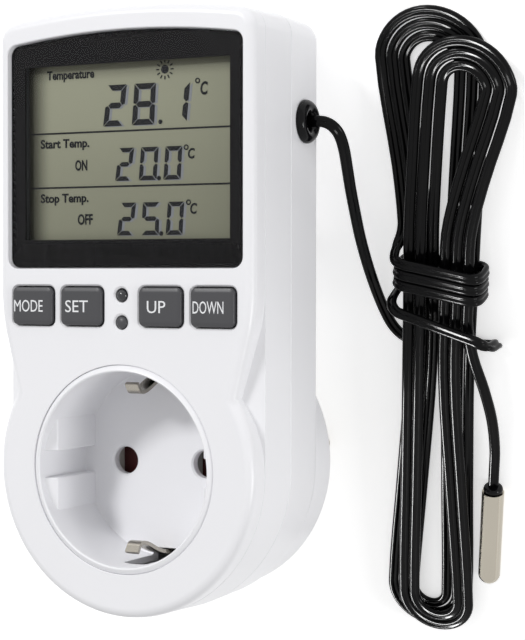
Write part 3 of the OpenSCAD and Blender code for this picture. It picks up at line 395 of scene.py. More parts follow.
def lifted(bm, steps, back_steps=()):
    """A closed solid: the outline in a bmesh raised in steps, towards -z where the steps' heights are negative"""
    face = bm.faces[:][0]
    face.normal_update()
    upward = sum(up for _, up in steps) > 0
    if (face.normal.z > 0) != upward:
        bmesh.ops.reverse_faces(bm, faces=[face])
    raised(bm, face, [(inward, abs(up)) for inward, up in steps])
    rim = [e for e in bm.edges if e.is_boundary]
    bottom = bmesh.ops.holes_fill(bm, edges=rim, sides=0)["faces"]
    if back_steps:
        bottom[0].normal_update()
        if (bottom[0].normal.z < 0) != upward:
            bmesh.ops.reverse_faces(bm, faces=bottom)
        raised(bm, bottom[0], back_steps)
    return solid(bm, "lifted")


def prism(points, low, high, axes):
    """An outline in the plane of the first two axes, drawn out along the third"""
    across, up, along = ("xyz".index(a) for a in axes)
    bm = bmesh.new()
    verts = []
    for p in points:
        place = [0, 0, 0]
        place[across], place[up], place[along] = p[0], p[1], low
        verts.append(bm.verts.new(place))
    face = bm.faces.new(verts)
    drawn = bmesh.ops.extrude_face_region(bm, geom=[face])["geom"]
    shift = [0, 0, 0]
    shift[along] = high - low
    bmesh.ops.translate(bm, verts=[v for v in drawn if isinstance(v, bmesh.types.BMVert)], vec=shift)
    return solid(bm, "prism")


def lettering(text, box, z, thickness, weight, slant=0.0):
    """Flat letters that fill a box (left, low, right, high), as a mesh standing on height z"""
    curve = bpy.data.curves.new("letters", "FONT")
    curve.body = text
    curve.shear = slant
    curve.offset = weight
    curve.extrude = 0.01
    curve.resolution_u = 3
    obj = bpy.data.objects.new("letters", curve)
    SCENE.collection.objects.link(obj)
    mesh = bpy.data.meshes.new_from_object(obj.evaluated_get(bpy.context.evaluated_depsgraph_get()))
    bpy.data.objects.remove(obj)
    bpy.data.curves.remove(curve)
    xs, ys = [v.co.x for v in mesh.vertices], [v.co.y for v in mesh.vertices]
    wide, tall = (box[2] - box[0]) / (max(xs) - min(xs)), (box[3] - box[1]) / (max(ys) - min(ys))
    mesh.transform(Matrix.Translation((box[0] - min(xs) * wide, box[1] - min(ys) * tall, z + thickness / 2))
                   @ Matrix.Diagonal((wide, tall, thickness / 0.02, 1)))
    made = bpy.data.objects.new("letters", mesh)
    SCENE.collection.objects.link(made)
    return made


# The sensor cord: the route of its solids, in millimetres, and its own flat section

# The hank lies turned about its tie: its own upward and rightward directions
HANK_TURN = radians(11.4)
HANK_U, HANK_V = (sin(HANK_TURN), cos(HANK_TURN)), (cos(HANK_TURN), -sin(HANK_TURN))
TIE_AT = (47.2, -8.0)
# The solids' cord: its diameter, the step from turn to turn, and the lowest turn's height
CORD, STEP, LOW = 2.0, 2.55, 1.05
# Rings in a turn, turns of the lower layer, turns of both layers, turns of the tie
RINGS, LOOPS_IN, LOOPS_ALL, TIE_TURNS = 24, 3, 5.5, 3
# The waist under the tie: half of its gap and its lift; then the radius and the reach of the innermost folds
WAIST_GAP, LIFT_WAIST = 0.9, 2.7
TOP_RADIUS, BOTTOM_RADIUS, TOP_REACH, BOTTOM_REACH = 4.0, 3.4, 58, 95
# How far up and down the hank the runs stay together, and where each has a ring on its way to the fold
PLATEAU_TOP, PLATEAU_BOTTOM, RUN_TOP, RUN_BOTTOM = 12, 22, 24, 52
# How far the folds lean to the side above and below, and how far the upper layer's tops stay behind
FAN_TOP, FAN_BOTTOM, TOP_DROP = 3.5, 1.5, 3
# The tie: its first ring, its bends' radius, where it starts, how far below its loose turn lies, its slack
TIE_FIRST, TIE_BEND, TIE_FROM, LOOSE_DROP, TIE_SPARE = 2, 2.5, -2.5, 16, 0.15
TIE_LEFT = WAIST_GAP + 2 * STEP + STEP + TIE_SPARE
TIE_RIGHT = WAIST_GAP + 2.5 * STEP + STEP + TIE_SPARE
# The tail from the hank to the probe, in the hank's frame, and the lead from the housing, in the part's
TAIL_ROUTE = [(-9, 7.3, 6.3), (-16, 8.8, 6.4), (-24, 11.2, 5.4), (-32, 12.8, 4), (-40, 13.4, 2.8)]
PROBE_AT = (-50, 13.4, 2.55)
LEAD_ROUTE = [(34.1, 32.4, 15.9), (35.5, 31.3, 15.6), (36.3, 29.3, 15.1), (36.3, 26, 14.3), (35.6, 21.5, 13.1),
              (34.7, 16, 11.7), (33.9, 10, 10.2), (33.2, 4, 8.7), (32.7, -2, 7), (32.4, -7.5, 5.3),
              (32.3, -12.5, 3.7), (32.5, -17, 2.3), (33.2, -20.3, 1.6), (34.7, -22.8, 1.2)]
# The grommet's height, depth behind the face and stand off the tapering wall
GROMMET_UP, GROMMET_BACK, GROMMET_PROUD = 69.3, 21.5, 0.15
WALL_AT_GROMMET = HALF_WIDTH - DRAFT * (GROMMET_BACK - JOINT) / (DEPTH - REAR_ROUND - JOINT)
GROMMET = Vector((WALL_AT_GROMMET + GROMMET_PROUD, GROMMET_UP, -GROMMET_BACK))
# The lead lies rolled to one side where it runs along the hank
CORD_ROLL = radians(28)


def hanked(p):
    """A place in the hank (up from the tie, to its right, above the surface) in the part's frame"""
    return Vector((TIE_AT[0] + p[0] * HANK_U[0] + p[1] * HANK_V[0],
                   TIE_AT[1] + p[0] * HANK_U[1] + p[1] * HANK_V[1], p[2]))


def ease(q):
    """A smooth step from 0 to 1"""
    s = min(1, max(0, q))
    return s * s * (3 - 2 * s)


def fold_centre(end, t):
    """How far the folds of a turn lie up or down the hank; the upper loops' tops reach less far"""
    if end < 0:
        return BOTTOM_REACH - BOTTOM_RADIUS - LOOPS_IN * STEP
    return TOP_REACH - TOP_RADIUS - LOOPS_IN * STEP - (TOP_DROP if t > LOOPS_IN else 0)


def fan(end, t):
    """How far the folds of a turn lean: the lower loops to the left, the upper ones to the right"""
    return (FAN_TOP if end > 0 else FAN_BOTTOM) * (1 if t > LOOPS_IN else -1)


def layer_height(t):
    """Height of a turn: the upper layer lies on the lower one, with a short ramp between them"""
    return LOW + STEP * ease((t - LOOPS_IN + 3 / RINGS) / (6 / RINGS))


def on_run(u, side, t):
    """A place on one of the hank's long runs"""
    rank = abs(LOOPS_IN - t)
    waist = WAIST_GAP + rank * STEP
    fold = (TOP_RADIUS if u > 0 else BOTTOM_RADIUS) + rank * STEP
    flat = PLATEAU_TOP if u > 0 else PLATEAU_BOTTOM
    q = ease((abs(u) - flat) / (fold_centre(u, t) - flat))
    return (u, side * (waist + (fold - waist) * q) + fan(u, t) * q, layer_height(t) + LIFT_WAIST * (1 - q))


def on_fold(end, turn, t):
    """A place on one of the hank's round ends"""
    r = (TOP_RADIUS if end > 0 else BOTTOM_RADIUS) + abs(LOOPS_IN - t) * STEP
    return (end * fold_centre(end, t) + r * sin(turn), r * cos(turn) + fan(end, t), layer_height(t))


def loop_point(g):
    """A place on the loops, ring by ring"""
    t, j = g / RINGS, g % RINGS
    if j <= 2:
        return on_run((0, PLATEAU_TOP, RUN_TOP)[j], -1, t)
    if j <= 9:
        return on_fold(1, pi - radians(30) * (j - 3), t)
    if j <= 11:
        return on_run((RUN_TOP, PLATEAU_TOP)[j - 10], 1, t)
    if j <= 14:
        return on_run((0, -PLATEAU_BOTTOM, -RUN_BOTTOM)[j - 12], 1, t)
    if j <= 21:
        return on_fold(-1, -radians(30) * (j - 15), t)
    return on_run((-RUN_BOTTOM, -PLATEAU_BOTTOM)[j - 22], -1, t)


def tie_point(g):
    """A place on the tie: one loose turn below the waist, then tight turns round it"""
    s = g / RINGS - 1
    loose = max(0, -s)
    bend, step = TIE_BEND, radians(30)
    w = (TIE_LEFT + TIE_RIGHT) / 2 - bend + 4.5 * loose
    low, high, i = LOW + TIE_SPARE + bend, LOW + LIFT_WAIST + 2 * STEP - bend, g % RINGS
    if i <= 5:
        v, z = w * (2 * i / 5 - 1), low - bend
    elif i <= 8:
        v, z = w + bend * sin(step * (i - 5)), low - bend * cos(step * (i - 5))
    elif i <= 12:
        v, z = w + bend * cos(step * (i - 9)), high + bend * sin(step * (i - 9))
    elif i <= 17:
        v, z = w * (1 - 2 * (i - 12) / 5), high + bend
    elif i <= 20:
        v, z = -w - bend * sin(step * (i - 17)), high + bend * cos(step * (i - 17))
    else:
        v, z = -w - bend * cos(step * (i - 21)), low - bend * sin(step * (i - 21))
    return (TIE_FROM + (LOOSE_DROP if s < 0 else STEP) * s, (TIE_RIGHT - TIE_LEFT) / 2 + v, z)


def cord_route():
    """The whole route from the grommet's mouth to the probe, in millimetres in the part's frame"""
    start = LAID @ (GROMMET + Vector((0.3, 0, 0))) * 1000
    first = Vector(tie_point(TIE_FIRST))
    entry = (Vector(tie_point(TIE_FIRST + 1)) - first).normalized()
    joint = hanked(first - STEP * entry)
    heading = joint - hanked(first - 2 * STEP * entry)
    lead = [start, start + Vector((CORD, 0, 0))] + [Vector(p) for p in LEAD_ROUTE] + [joint - heading, joint]
    last_g = RINGS * TIE_TURNS + 17
    last, before = Vector(tie_point(last_g)), Vector(tie_point(last_g - 1))
    out = (last - before).normalized()
    begin = Vector(loop_point(1))
    on = (Vector(loop_point(2)) - begin).normalized()
    rise = []
    for i in range(1, 5):
        s, r = i / 5, 1 - i / 5
        rise.append(r ** 3 * last + 3 * r * r * s * (last + 5 * out) + 3 * r * s * s * (begin - 5 * on)
                    + s ** 3 * begin)
    hank = [Vector(tie_point(g)) for g in range(TIE_FIRST, last_g + 1)] + rise
    hank += [Vector(loop_point(g)) for g in range(1, int(RINGS * LOOPS_ALL) + 1)]
    hank += [Vector(p) for p in TAIL_ROUTE] + [Vector(PROBE_AT) + Vector((2 * CORD, 0, 0)), Vector(PROBE_AT)]
    return lead + [hanked(p) for p in hank]


def smoothed(points, steps):
    """The points with a smooth curve through them"""
    run = []
    for i in range(len(points) - 1):
        a, b = points[max(i - 1, 0)], points[i]
        c, d = points[i + 1], points[min(i + 2, len(points) - 1)]
        span = (c - b).length
        into = (c - a) * (span / max((c - a).length, 1e-6))
        away = (d - b) * (span / max((d - b).length, 1e-6))
        for k in range(steps):
            s = k / steps
            run.append(b * (2 * s ** 3 - 3 * s ** 2 + 1) + into * (s ** 3 - 2 * s ** 2 + s)
                       + c * (3 * s ** 2 - 2 * s ** 3) + away * (s ** 3 - s ** 2))
    return run + [points[-1]]


def swept(name, points, outline, roll=0.0):
    """An outline swept along points as one closed tube, level across them and rolled to one side along y"""
    bm = bmesh.new()
    level = None
    ring = []
    for i, p in enumerate(points):
        ahead = (points[min(i + 1, len(points) - 1)] - points[max(i - 1, 0)]).normalized()
        flat = Vector((0, 0, 1)).cross(ahead)
        if level is None:
            level = flat.normalized()
        # on nearly level stretches the tube is drawn back to lie flat, and elsewhere it keeps its twist
        if flat.length > 0.75:
            level += flat.normalized() * (0.35 if flat.dot(level) > 0 else -0.35)
        level = (level - ahead * level.dot(ahead)).normalized()
        up = ahead.cross(level)
        turn = Matrix.Rotation(roll * ahead.y, 3, ahead)
        across, over = turn @ level, turn @ up
        if i == 0:
            ring = [bm.verts.new(p + across * a + over * b) for a, b in outline]
            edges = [bm.edges.new(pair) for pair in zip(ring, ring[1:] + ring[:1])]
            bm.faces.new(ring)
            continue
        made = bmesh.ops.extrude_edge_only(bm, edges=edges)["geom"]
        verts = {v for v in made if isinstance(v, bmesh.types.BMVert)}
        edges = [e for e in made if isinstance(e, bmesh.types.BMEdge) and e.verts[0] in verts and e.verts[1] in verts]
        following = []
        for v in ring:
            following.append(next(o for e in v.link_edges for o in (e.other_vert(v),) if o in verts))
        for v, (a, b) in zip(following, outline):
            v.co = p + across * a + over * b
        ring = following
    bm.faces.new(ring)
    return solid(bm, name)


def twin_outline(width, thickness):
    """The section of a flat twin lead: two round cores side by side, with a groove where they meet"""
    r, steps = thickness / 2, 10
    apart = width / 2 - r
    reach = acos(-0.86 * apart / r) if apart < r else radians(150)
    points = []
    for side in (1, -1):
        for i in range(steps + 1):
            a = reach * (2 * i / steps - 1)
            points.append((side * (apart + r * cos(a)), side * r * sin(a)))
    return points


# Materials

def hex_linear(code):
    """An sRGB hex colour as the linear values that the shader takes"""
    channels = [int(code[i:i + 2], 16) / 255 for i in (1, 3, 5)]
    return tuple(c / 12.92 if c <= 0.04045 else ((c + 0.055) / 1.055) ** 2.4 for c in channels) + (1.0,)


def add_node(tree, kind, links=(), **settings):
    """Adds a node with its settings and values, and links its inputs"""
    made = tree.nodes.new(kind)
    for key, value in settings.items():
        if hasattr(made, key):
            setattr(made, key, value)
        else:
            made.inputs[key.replace("_", " ")].default_value = value
    for socket, source in links:
        tree.links.new(source, made.inputs[socket])
    return made


# Colour drifts a little over about this many millimetres of a moulded or painted surface
DRIFT_MM = 18


def surface(name, colour, roughness, grain_mm=0.5, spread=0.04, bump_mm=0.004, rough_spread=0.06,
            stretch=(1, 1, 1), **shader_values):
    """A finish: its colour with a little unevenness, and its grain as bump and roughness, in real sizes"""
    made = bpy.data.materials.new(name)
    made.use_nodes = True
    tree = made.node_tree
    shader = tree.nodes["Principled BSDF"]
    for key, value in shader_values.items():
        shader.inputs[key.replace("_", " ")].default_value = value
    place = add_node(tree, "ShaderNodeTexCoord")
    stretched = add_node(tree, "ShaderNodeMapping", [("Vector", place.outputs["Object"])], Scale=stretch)
    grain = add_node(tree, "ShaderNodeTexNoise", [("Vector", stretched.outputs["Vector"])], Scale=1000 / grain_mm,
                     Detail=3.0)
    cloud = add_node(tree, "ShaderNodeTexNoise", [("Vector", place.outputs["Object"])], Scale=1000 / DRIFT_MM,
                     Detail=2.0)
    base = hex_linear(colour)
    darker = tuple(c * (1 - spread) for c in base[:3]) + (1,)
    lighter = tuple(min(c * (1 + spread), 1) for c in base[:3]) + (1,)
    tone = add_node(tree, "ShaderNodeMix", [("Factor", cloud.outputs["Fac"])], data_type="RGBA")
    tone.inputs["A"].default_value, tone.inputs["B"].default_value = darker, lighter
    tree.links.new(tone.outputs["Result"], shader.inputs["Base Color"])
    rough = add_node(tree, "ShaderNodeMapRange", [("Value", grain.outputs["Fac"])],
                     To_Min=max(roughness - rough_spread, 0.02), To_Max=min(roughness + rough_spread, 1))
    tree.links.new(rough.outputs["Result"], shader.inputs["Roughness"])
    if bump_mm:
        relief = add_node(tree, "ShaderNodeBump", [("Height", grain.outputs["Fac"])], Distance=bump_mm * MM,
                          Strength=0.6)
        tree.links.new(relief.outputs["Normal"], shader.inputs["Normal"])
    return made


# Each finish: its material's name, its colour, its roughness and what else its surface takes. White ABS
# has no colour here, because the user sets it. Moulded, plated and drawn surfaces have a grain of about a
# tenth of a millimetre in life; it is drawn at 0.2 to 0.6 mm here, so that it shows.
FINISHES = {
    # Moulded ABS, bright white with a faint spark-eroded texture: broad soft highlights
    "white_abs": ("ABS, moulded white", None, 0.34, dict(grain_mm=0.45, spread=0.012, bump_mm=0.006, IOR=1.52)),
    # Moulded polyamide of the plug, a shade warmer and duller than the shells
    "plug_white": ("Polyamide, moulded white", "#ECECEA", 0.42,
                   dict(grain_mm=0.5, spread=0.015, bump_mm=0.006, IOR=1.53)),
    # Moulded ABS, dark grey with a satin texture that softens the highlight
    "key_grey": ("ABS, satin dark grey", "#424245", 0.36,
                 dict(grain_mm=0.3, spread=0.04, bump_mm=0.006, IOR=1.45)),
    # Pad-printed white ink, slightly uneven
    "caption_ink": ("Ink, pad-printed white", "#E9EAEC", 0.55, dict(grain_mm=0.2, spread=0.05, bump_mm=0.003)),
    # Screen-printed black behind the lens: deep and even, and the lens before it gives the reflection
    "black_mask": ("Ink, screen-printed gloss black", "#0D0C0E", 0.3,
                   dict(grain_mm=0.6, spread=0.05, bump_mm=0.0, rough_spread=0.02, Specular_IOR_Level=0.1)),
    # Plasticised PVC of the lead: deep black, narrow bright lights along each core, and fine draw lines
    "soft_black": ("PVC, extruded gloss black", "#060607", 0.16,
                   dict(grain_mm=0.35, spread=0.15, bump_mm=0.003, rough_spread=0.05, Specular_IOR_Level=0.12)),
    # Polished moulded rubber of the grommet and the probe's seal: black with small sharp lights
    "gloss_rubber": ("Rubber, moulded gloss black", "#0C0C0E", 0.14,
                     dict(grain_mm=0.4, spread=0.1, bump_mm=0.003, Specular_IOR_Level=0.14)),
    # Epoxy and phenolic of chips, relay and switches: dull black
    "black_resin": ("Epoxy, moulded matt black", "#1C1D20", 0.6, dict(grain_mm=0.25, spread=0.1, bump_mm=0.01)),
    # Nickel-plated brass, bright with faint wiping marks along the part
    "nickel": ("Nickel, plated satin", "#A9A49A", 0.2,
               dict(grain_mm=0.35, spread=0.22, bump_mm=0.002, rough_spread=0.08, stretch=(6, 1, 1),
                    Metallic=1.0)),
    # Stamped brass of the contacts, warm and bright
    "brass": ("Brass, stamped", "#C9A452", 0.28, dict(grain_mm=0.4, spread=0.08, bump_mm=0.003, Metallic=1.0)),
    # Drawn stainless tube: long fine polishing lines round the sleeve and a clean edge light
    "stainless": ("Stainless steel, polished tube", "#B7B1A4", 0.16,
                  dict(grain_mm=0.25, spread=0.06, bump_mm=0.002, rough_spread=0.07, stretch=(1, 5, 1),
                       Metallic=1.0)),
    # Zinc-plated steel of the screws and the spring: cool grey with a soft gloss
    "zinc_steel": ("Steel, zinc-plated", "#B9BCC1", 0.32,
                   dict(grain_mm=0.3, spread=0.08, bump_mm=0.004, Metallic=1.0)),
    # Moulded acetal, deep red, dull
    "shutter_red": ("Acetal, moulded dark red", "#420F11", 0.45, dict(grain_mm=0.4, spread=0.06, bump_mm=0.006)),
    # Glass-fibre laminate with green lacquer: glossy, with the weave just showing
    "board_green": ("FR4 laminate, green lacquer", "#2A6242", 0.3, dict(grain_mm=0.6, spread=0.12, bump_mm=0.01)),
    # Natural moulded nylon of holders and connector, milky
    "natural_nylon": ("Nylon, natural", "#E2E1DA", 0.5,
                      dict(grain_mm=0.5, spread=0.03, bump_mm=0.006, Subsurface_Weight=0.05)),
    # Silicone strip of carbon and clear layers, pinkish grey and matt
    "contact_rubber": ("Silicone, layered contact strip", "#B98591", 0.7,
                       dict(grain_mm=0.18, spread=0.25, bump_mm=0.01, stretch=(1, 12, 12))),
    # Grey PVC ribbon with ribs over each wire
    "tinned_ribbon": ("PVC, ribbon grey", "#B6BAC1", 0.5,
                      dict(grain_mm=1.27, spread=0.06, bump_mm=0.05, stretch=(1, 0.05, 0.05))),
    # Epoxy-dipped film capacitor, ochre and glossy
    "film_yellow": ("Epoxy, dipped ochre", "#C79E2B", 0.3, dict(grain_mm=0.9, spread=0.06, bump_mm=0.02)),
    # Epoxy-coated disc, blue and slightly uneven
    "arrester_blue": ("Epoxy, dipped blue", "#2D5D9F", 0.35, dict(grain_mm=0.8, spread=0.07, bump_mm=0.03)),
    # Sand-filled ceramic fuse body, cream and dry
    "ceramic": ("Ceramic, unglazed cream", "#D9D1BE", 0.7, dict(grain_mm=0.3, spread=0.05, bump_mm=0.01)),
    # PVC insulation of the live wires, brown with a soft gloss
    "wire_brown": ("PVC, brown insulation", "#6A3F26", 0.42, dict(grain_mm=0.4, spread=0.06, bump_mm=0.005)),
    # PVC insulation of the neutral wires, blue with a soft gloss
    "wire_blue": ("PVC, blue insulation", "#2B57A6", 0.42, dict(grain_mm=0.4, spread=0.06, bump_mm=0.005)),
    # Unlit diffused lamp: smoky dark epoxy under a thin gloss
    "lamp_grey": ("Epoxy, smoked lamp", "#1C1D21", 0.12,
                  dict(grain_mm=0.8, spread=0.08, bump_mm=0.0, rough_spread=0.03, Coat_Weight=0.3)),
    # Matt white film behind the cell, which scatters the light evenly
    "reflector_white": ("Polyester film, matt white", "#DDDED8", 0.6,
                        dict(grain_mm=0.5, spread=0.02, bump_mm=0.004)),
    # Liquid crystal switched on: dark, soft blue-grey, without gloss
    "segment_ink": ("Liquid crystal, dark segments", "#1E1F21", 0.4,
                    dict(grain_mm=0.8, spread=0.08, bump_mm=0.0, Specular_IOR_Level=0.1)),
    # Shadow of the segments on the film behind the cell
    "segment_shadow": ("Liquid crystal, cast shadow", "#74777C", 0.5,
                       dict(grain_mm=0.8, spread=0.05, bump_mm=0.0)),
    # Glass cell on a grey-green film, shaded further by shade_cell
    "crystal_cell": ("Liquid crystal cell, grey-green", "#929380", 0.4,
                     dict(grain_mm=0.4, spread=0.025, bump_mm=0.0, Specular_IOR_Level=0.1)),
    # Clear polycarbonate with a hard coat, made see-through by clear_through
    "clear_lens": ("Polycarbonate, clear", "#F4F5F7", 0.04,
                   dict(grain_mm=2, spread=0.0, bump_mm=0.0, rough_spread=0.01, IOR=1.5)),
}

# The nodes that wear each finish
WORN_BY = {
    "white_abs": "front_housing rear_housing socket_insert",
    "plug_white": "plug_body",
    "key_grey": "button_mode button_set button_up button_down reset_button",
    "black_mask": "display_mask",
    "soft_black": "sensor_inner_lead sensor_lead sensor_hank",
    "gloss_rubber": "cable_grommet probe_seal",
    "black_resin": "lcd_holder control_chip key_switches plunger_mode plunger_set plunger_up plunger_down "
                   "plunger_reset relay smoothing_capacitor bridge_rectifier",
    "nickel": "earth_bracket plug_pin_line plug_pin_neutral plug_earth_strips",
    "brass": "contact_line contact_neutral",
    "stainless": "probe_tube",
    "zinc_steel": "shutter_spring board_screws housing_screws",
    "shutter_red": "child_shutter",
    "board_green": "display_board power_board",
    "natural_nylon": "shutter_cover pin_plate sensor_connector",
    "contact_rubber": "zebra_strips",
    "tinned_ribbon": "ribbon_cable",
    "film_yellow": "film_capacitor",
    "arrester_blue": "varistor",
    "ceramic": "fuse",
    "wire_brown": "wire_line",
    "wire_blue": "wire_neutral",
    "lamp_grey": "status_lamp",
    "reflector_white": "lcd_reflector",
    "crystal_cell": "lcd_cell",
    "clear_lens": "display_lens",
}
NODE_FINISH = {node: name for name, nodes in WORN_BY.items() for node in nodes.split()}

# Width of the shadow that the display's frame casts on the cell, along its left and its upper edge
SHADOW_LEFT, SHADOW_TOP = 5.5 * MM, 3.2 * MM


def shell_colour():
    """The shell colour that the user sets, as a hex value"""
    return "#" + "".join(f"{round(c * 255):02X}" for c in SCENE.controller_housing.shade)


def shade_cell(made):
    """Lights the cell from the upper left, in the frame's shadow along its left and upper edges"""
    tree = made.node_tree
    shader = tree.nodes["Principled BSDF"]
    shaded = shader.inputs["Base Color"].links[0].from_socket
    place = next(n for n in tree.nodes if n.bl_idname == "ShaderNodeTexCoord")
    split = add_node(tree, "ShaderNodeSeparateXYZ", [("Vector", place.outputs["Object"])])
    d = SCENE.controller_display
    half = d.window_width / 2
    low, high = ((LAID @ Vector((0, (d.window_middle + side * d.window_height / 2) * 1000, CELL_FRONT))).y
                 for side in (-1, 1))
    shades = []
    # along each axis from a start to an end, how much of the colour is left at either
    for axis, start, end, at_start, at_end in (("X", -half, -half + SHADOW_LEFT, 0.12, 1.0),
                                               ("X", -half, half, 1.02, 0.92),
                                               ("Y", high, high - SHADOW_TOP, 0.5, 1.0),
                                               ("Y", low, high, 0.78, 1.06)):
        shades.append(add_node(tree, "ShaderNodeMapRange", [("Value", split.outputs[axis])],
                               interpolation_type="SMOOTHSTEP", From_Min=start, From_Max=end, To_Min=at_start,
                               To_Max=at_end).outputs["Result"])
    for shade in shades:
        shaded = add_node(tree, "ShaderNodeVectorMath", [(0, shaded), ("Scale", shade)],
                          operation="SCALE").outputs["Vector"]
    tree.links.new(shaded, shader.inputs["Base Color"])


def clear_through(made):
    """Lets the display show straight through the lens, under a faint sharp reflection"""
    tree = made.node_tree
    through = add_node(tree, "ShaderNodeBsdfTransparent")
    shine = add_node(tree, "ShaderNodeBsdfGlossy", Roughness=0.04)
    edge = add_node(tree, "ShaderNodeFresnel", IOR=1.18)
    both = add_node(tree, "ShaderNodeMixShader", [(0, edge.outputs[0]), (1, through.outputs[0]),
                                                  (2, shine.outputs[0])])
    # a ray isn't bent on its way in, so the far side of the lens only lets it through
    inside = add_node(tree, "ShaderNodeNewGeometry").outputs["Backfacing"]
    lens = add_node(tree, "ShaderNodeMixShader", [(0, inside), (1, both.outputs[0]), (2, through.outputs[0])])
    tree.nodes.remove(tree.nodes["Principled BSDF"])
    tree.links.new(lens.outputs[0], tree.nodes["Material Output"].inputs["Surface"])


FURTHER = {"crystal_cell": shade_cell, "clear_lens": clear_through}
MADE = {}


def finish_named(name):
    """A finish by name, made once"""
    if name not in MADE:
        material, colour, roughness, more = FINISHES[name]
        MADE[name] = surface(material, colour or shell_colour(), roughness, **more)
        if name in FURTHER:
            FURTHER[name](MADE[name])
    return MADE[name]


# The pieces

# The camera that fits the photograph, in the housing's frame: the point it looks at, its distance, the way
# back from the picture, the way across it, its small tilt in degrees and its lens
CAMERA_AIM, CAMERA_DISTANCE = Vector((31.6, 30.1, 0)), 343
CAMERA_BACK, CAMERA_ACROSS = Vector((0.4656, 0.0241, 0.8847)), Vector((0.8849, 0, -0.4658))
CAMERA_TILT, CAMERA_LENS = 0.06, 101.8


class ViewOperator(bpy.types.Operator):
    """The camera where the photograph's stood"""
    bl_idname = "controller.view"
    bl_label = "Camera"

    def execute(self, context):
        back = CAMERA_BACK.normalized()
        right = (CAMERA_ACROSS - back * CAMERA_ACROSS.dot(back)).normalized()
        up = back.cross(right)
        tilt = Matrix.Rotation(radians(CAMERA_TILT), 3, back)
        axes = Matrix((tilt @ right, tilt @ up, back)).transposed()
        data = bpy.data.cameras.new("camera")
        data.lens = CAMERA_LENS
        data.clip_start = 0.01
        camera = bpy.data.objects.new("camera", data)
        SCENE.collection.objects.link(camera)
        eye = Matrix.Translation(LAID @ (CAMERA_AIM + back * CAMERA_DISTANCE))
        camera.matrix_world = eye @ (Matrix.Rotation(-LEAN, 3, "X") @ axes).to_4x4()
        SCENE.camera = camera
        return {"FINISHED"}


class GrommetOperator(bpy.types.Operator):
    """The round grommet that the lead leaves the housing through"""
    bl_idname = "controller.grommet"
    bl_label = "Grommet"

    def execute(self, context):
        flange, hole, lip = 4.4, 1.65, GROMMET_PROUD
        width = (flange - 1.8 + lip) / 2
        dome = [(hole + width + width * cos(a), lip + 1.55 * sin(a)) for a in even_turns(pi, 16)]
        inner = -(GROMMET.x - (HALF_WIDTH - DRAFT - WALL - lip))
        ring = turned([(0, inner - 1.2), (3.7, inner - 1.2), (4.0, inner - 0.9), (4.0, inner), (3.1, inner),
                       (3.1, 0), (4.25, 0)] + dome + [(1.6, 0.3), (0, 0.3)])
        finish(ring, "lead_grommet", "gloss_rubber", "housing", ["cable_grommet"],
               place=LAID @ Matrix.Translation(GROMMET) @ Matrix.Rotation(pi / 2, 4, "Y"), angle=50)
        return {"FINISHED"}


class ProbeOperator(bpy.types.Operator):
    """The steel sleeve of the probe with the moulded seal that the lead enters"""
    bl_idname = "controller.probe"
    bl_label = "Probe"

    def execute(self, context):
        c = sizes(SCENE.controller_cord)
        r, mouth, wall, inside = c["probe"] / 2, 1.5, 0.25, 1.95
        end = mouth + c["probe_length"]
        place = (FLAT @ Matrix.Translation(hanked(PROBE_AT)) @ Matrix.Rotation(-HANK_TURN, 4, "Z")
                 @ Matrix.Rotation(pi / 2, 4, "X"))
        tip = [(r * cos(a), end - r + r * sin(a)) for a in even_turns(pi / 2, 10)]
        sleeve = turned([(inside, 4.6), (inside, mouth + 0.12), (inside + 0.12, mouth), (r - 0.12, mouth),
                         (r, mouth + 0.14)] + tip[:-1] + [(0, end), (0, end - wall * 2), (inside, 6), (inside, 4.6)],
                        sides=64)
        finish(sleeve, "probe_sleeve", "stainless", "housing", ["probe_tube"], place=place)
        seal = turned([(0, 0), (1.5, 0), (1.9, 0.12), (2.12, 0.4), (2.2, 0.75), (2.15, 1.1), (1.9, 1.42), (1.9, 4.4),
                       (0, 4.4)], sides=48)
        finish(seal, "probe_boot", "gloss_rubber", "housing", ["probe_seal"], place=place)
        return {"FINISHED"}


class CordOperator(bpy.types.Operator):
    """The flat twin lead from the grommet through its tied hank to the probe"""
    bl_idname = "controller.cord"
    bl_label = "Sensor cord"

    def execute(self, context):
        c = sizes(SCENE.controller_cord)
        route = smoothed(cord_route(), 4)
        lead = swept("sensor_cord", route, twin_outline(c["width"], c["thickness"]), roll=CORD_ROLL)
        finish(lead, "sensor_cord", "soft_black", "housing", ["sensor_lead", "sensor_hank"],
               place=FLAT, angle=50)
        return {"FINISHED"}


class FinishesOperator(bpy.types.Operator):
    """The finishes of every part that keeps its own shape"""
    bl_idname = "controller.finishes"
    bl_label = "Finishes"

    def execute(self, context):
        for name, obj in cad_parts.items():
            made = finish_named(NODE_FINISH[name])
            for slot in obj.material_slots:
                slot.material = made
        return {"FINISHED"}


def key_places(k):
    """Where the four keys stand across the housing, from the left"""
    return [-k["inner"] - k["step"], -k["inner"], k["inner"], k["inner"] + k["step"]]


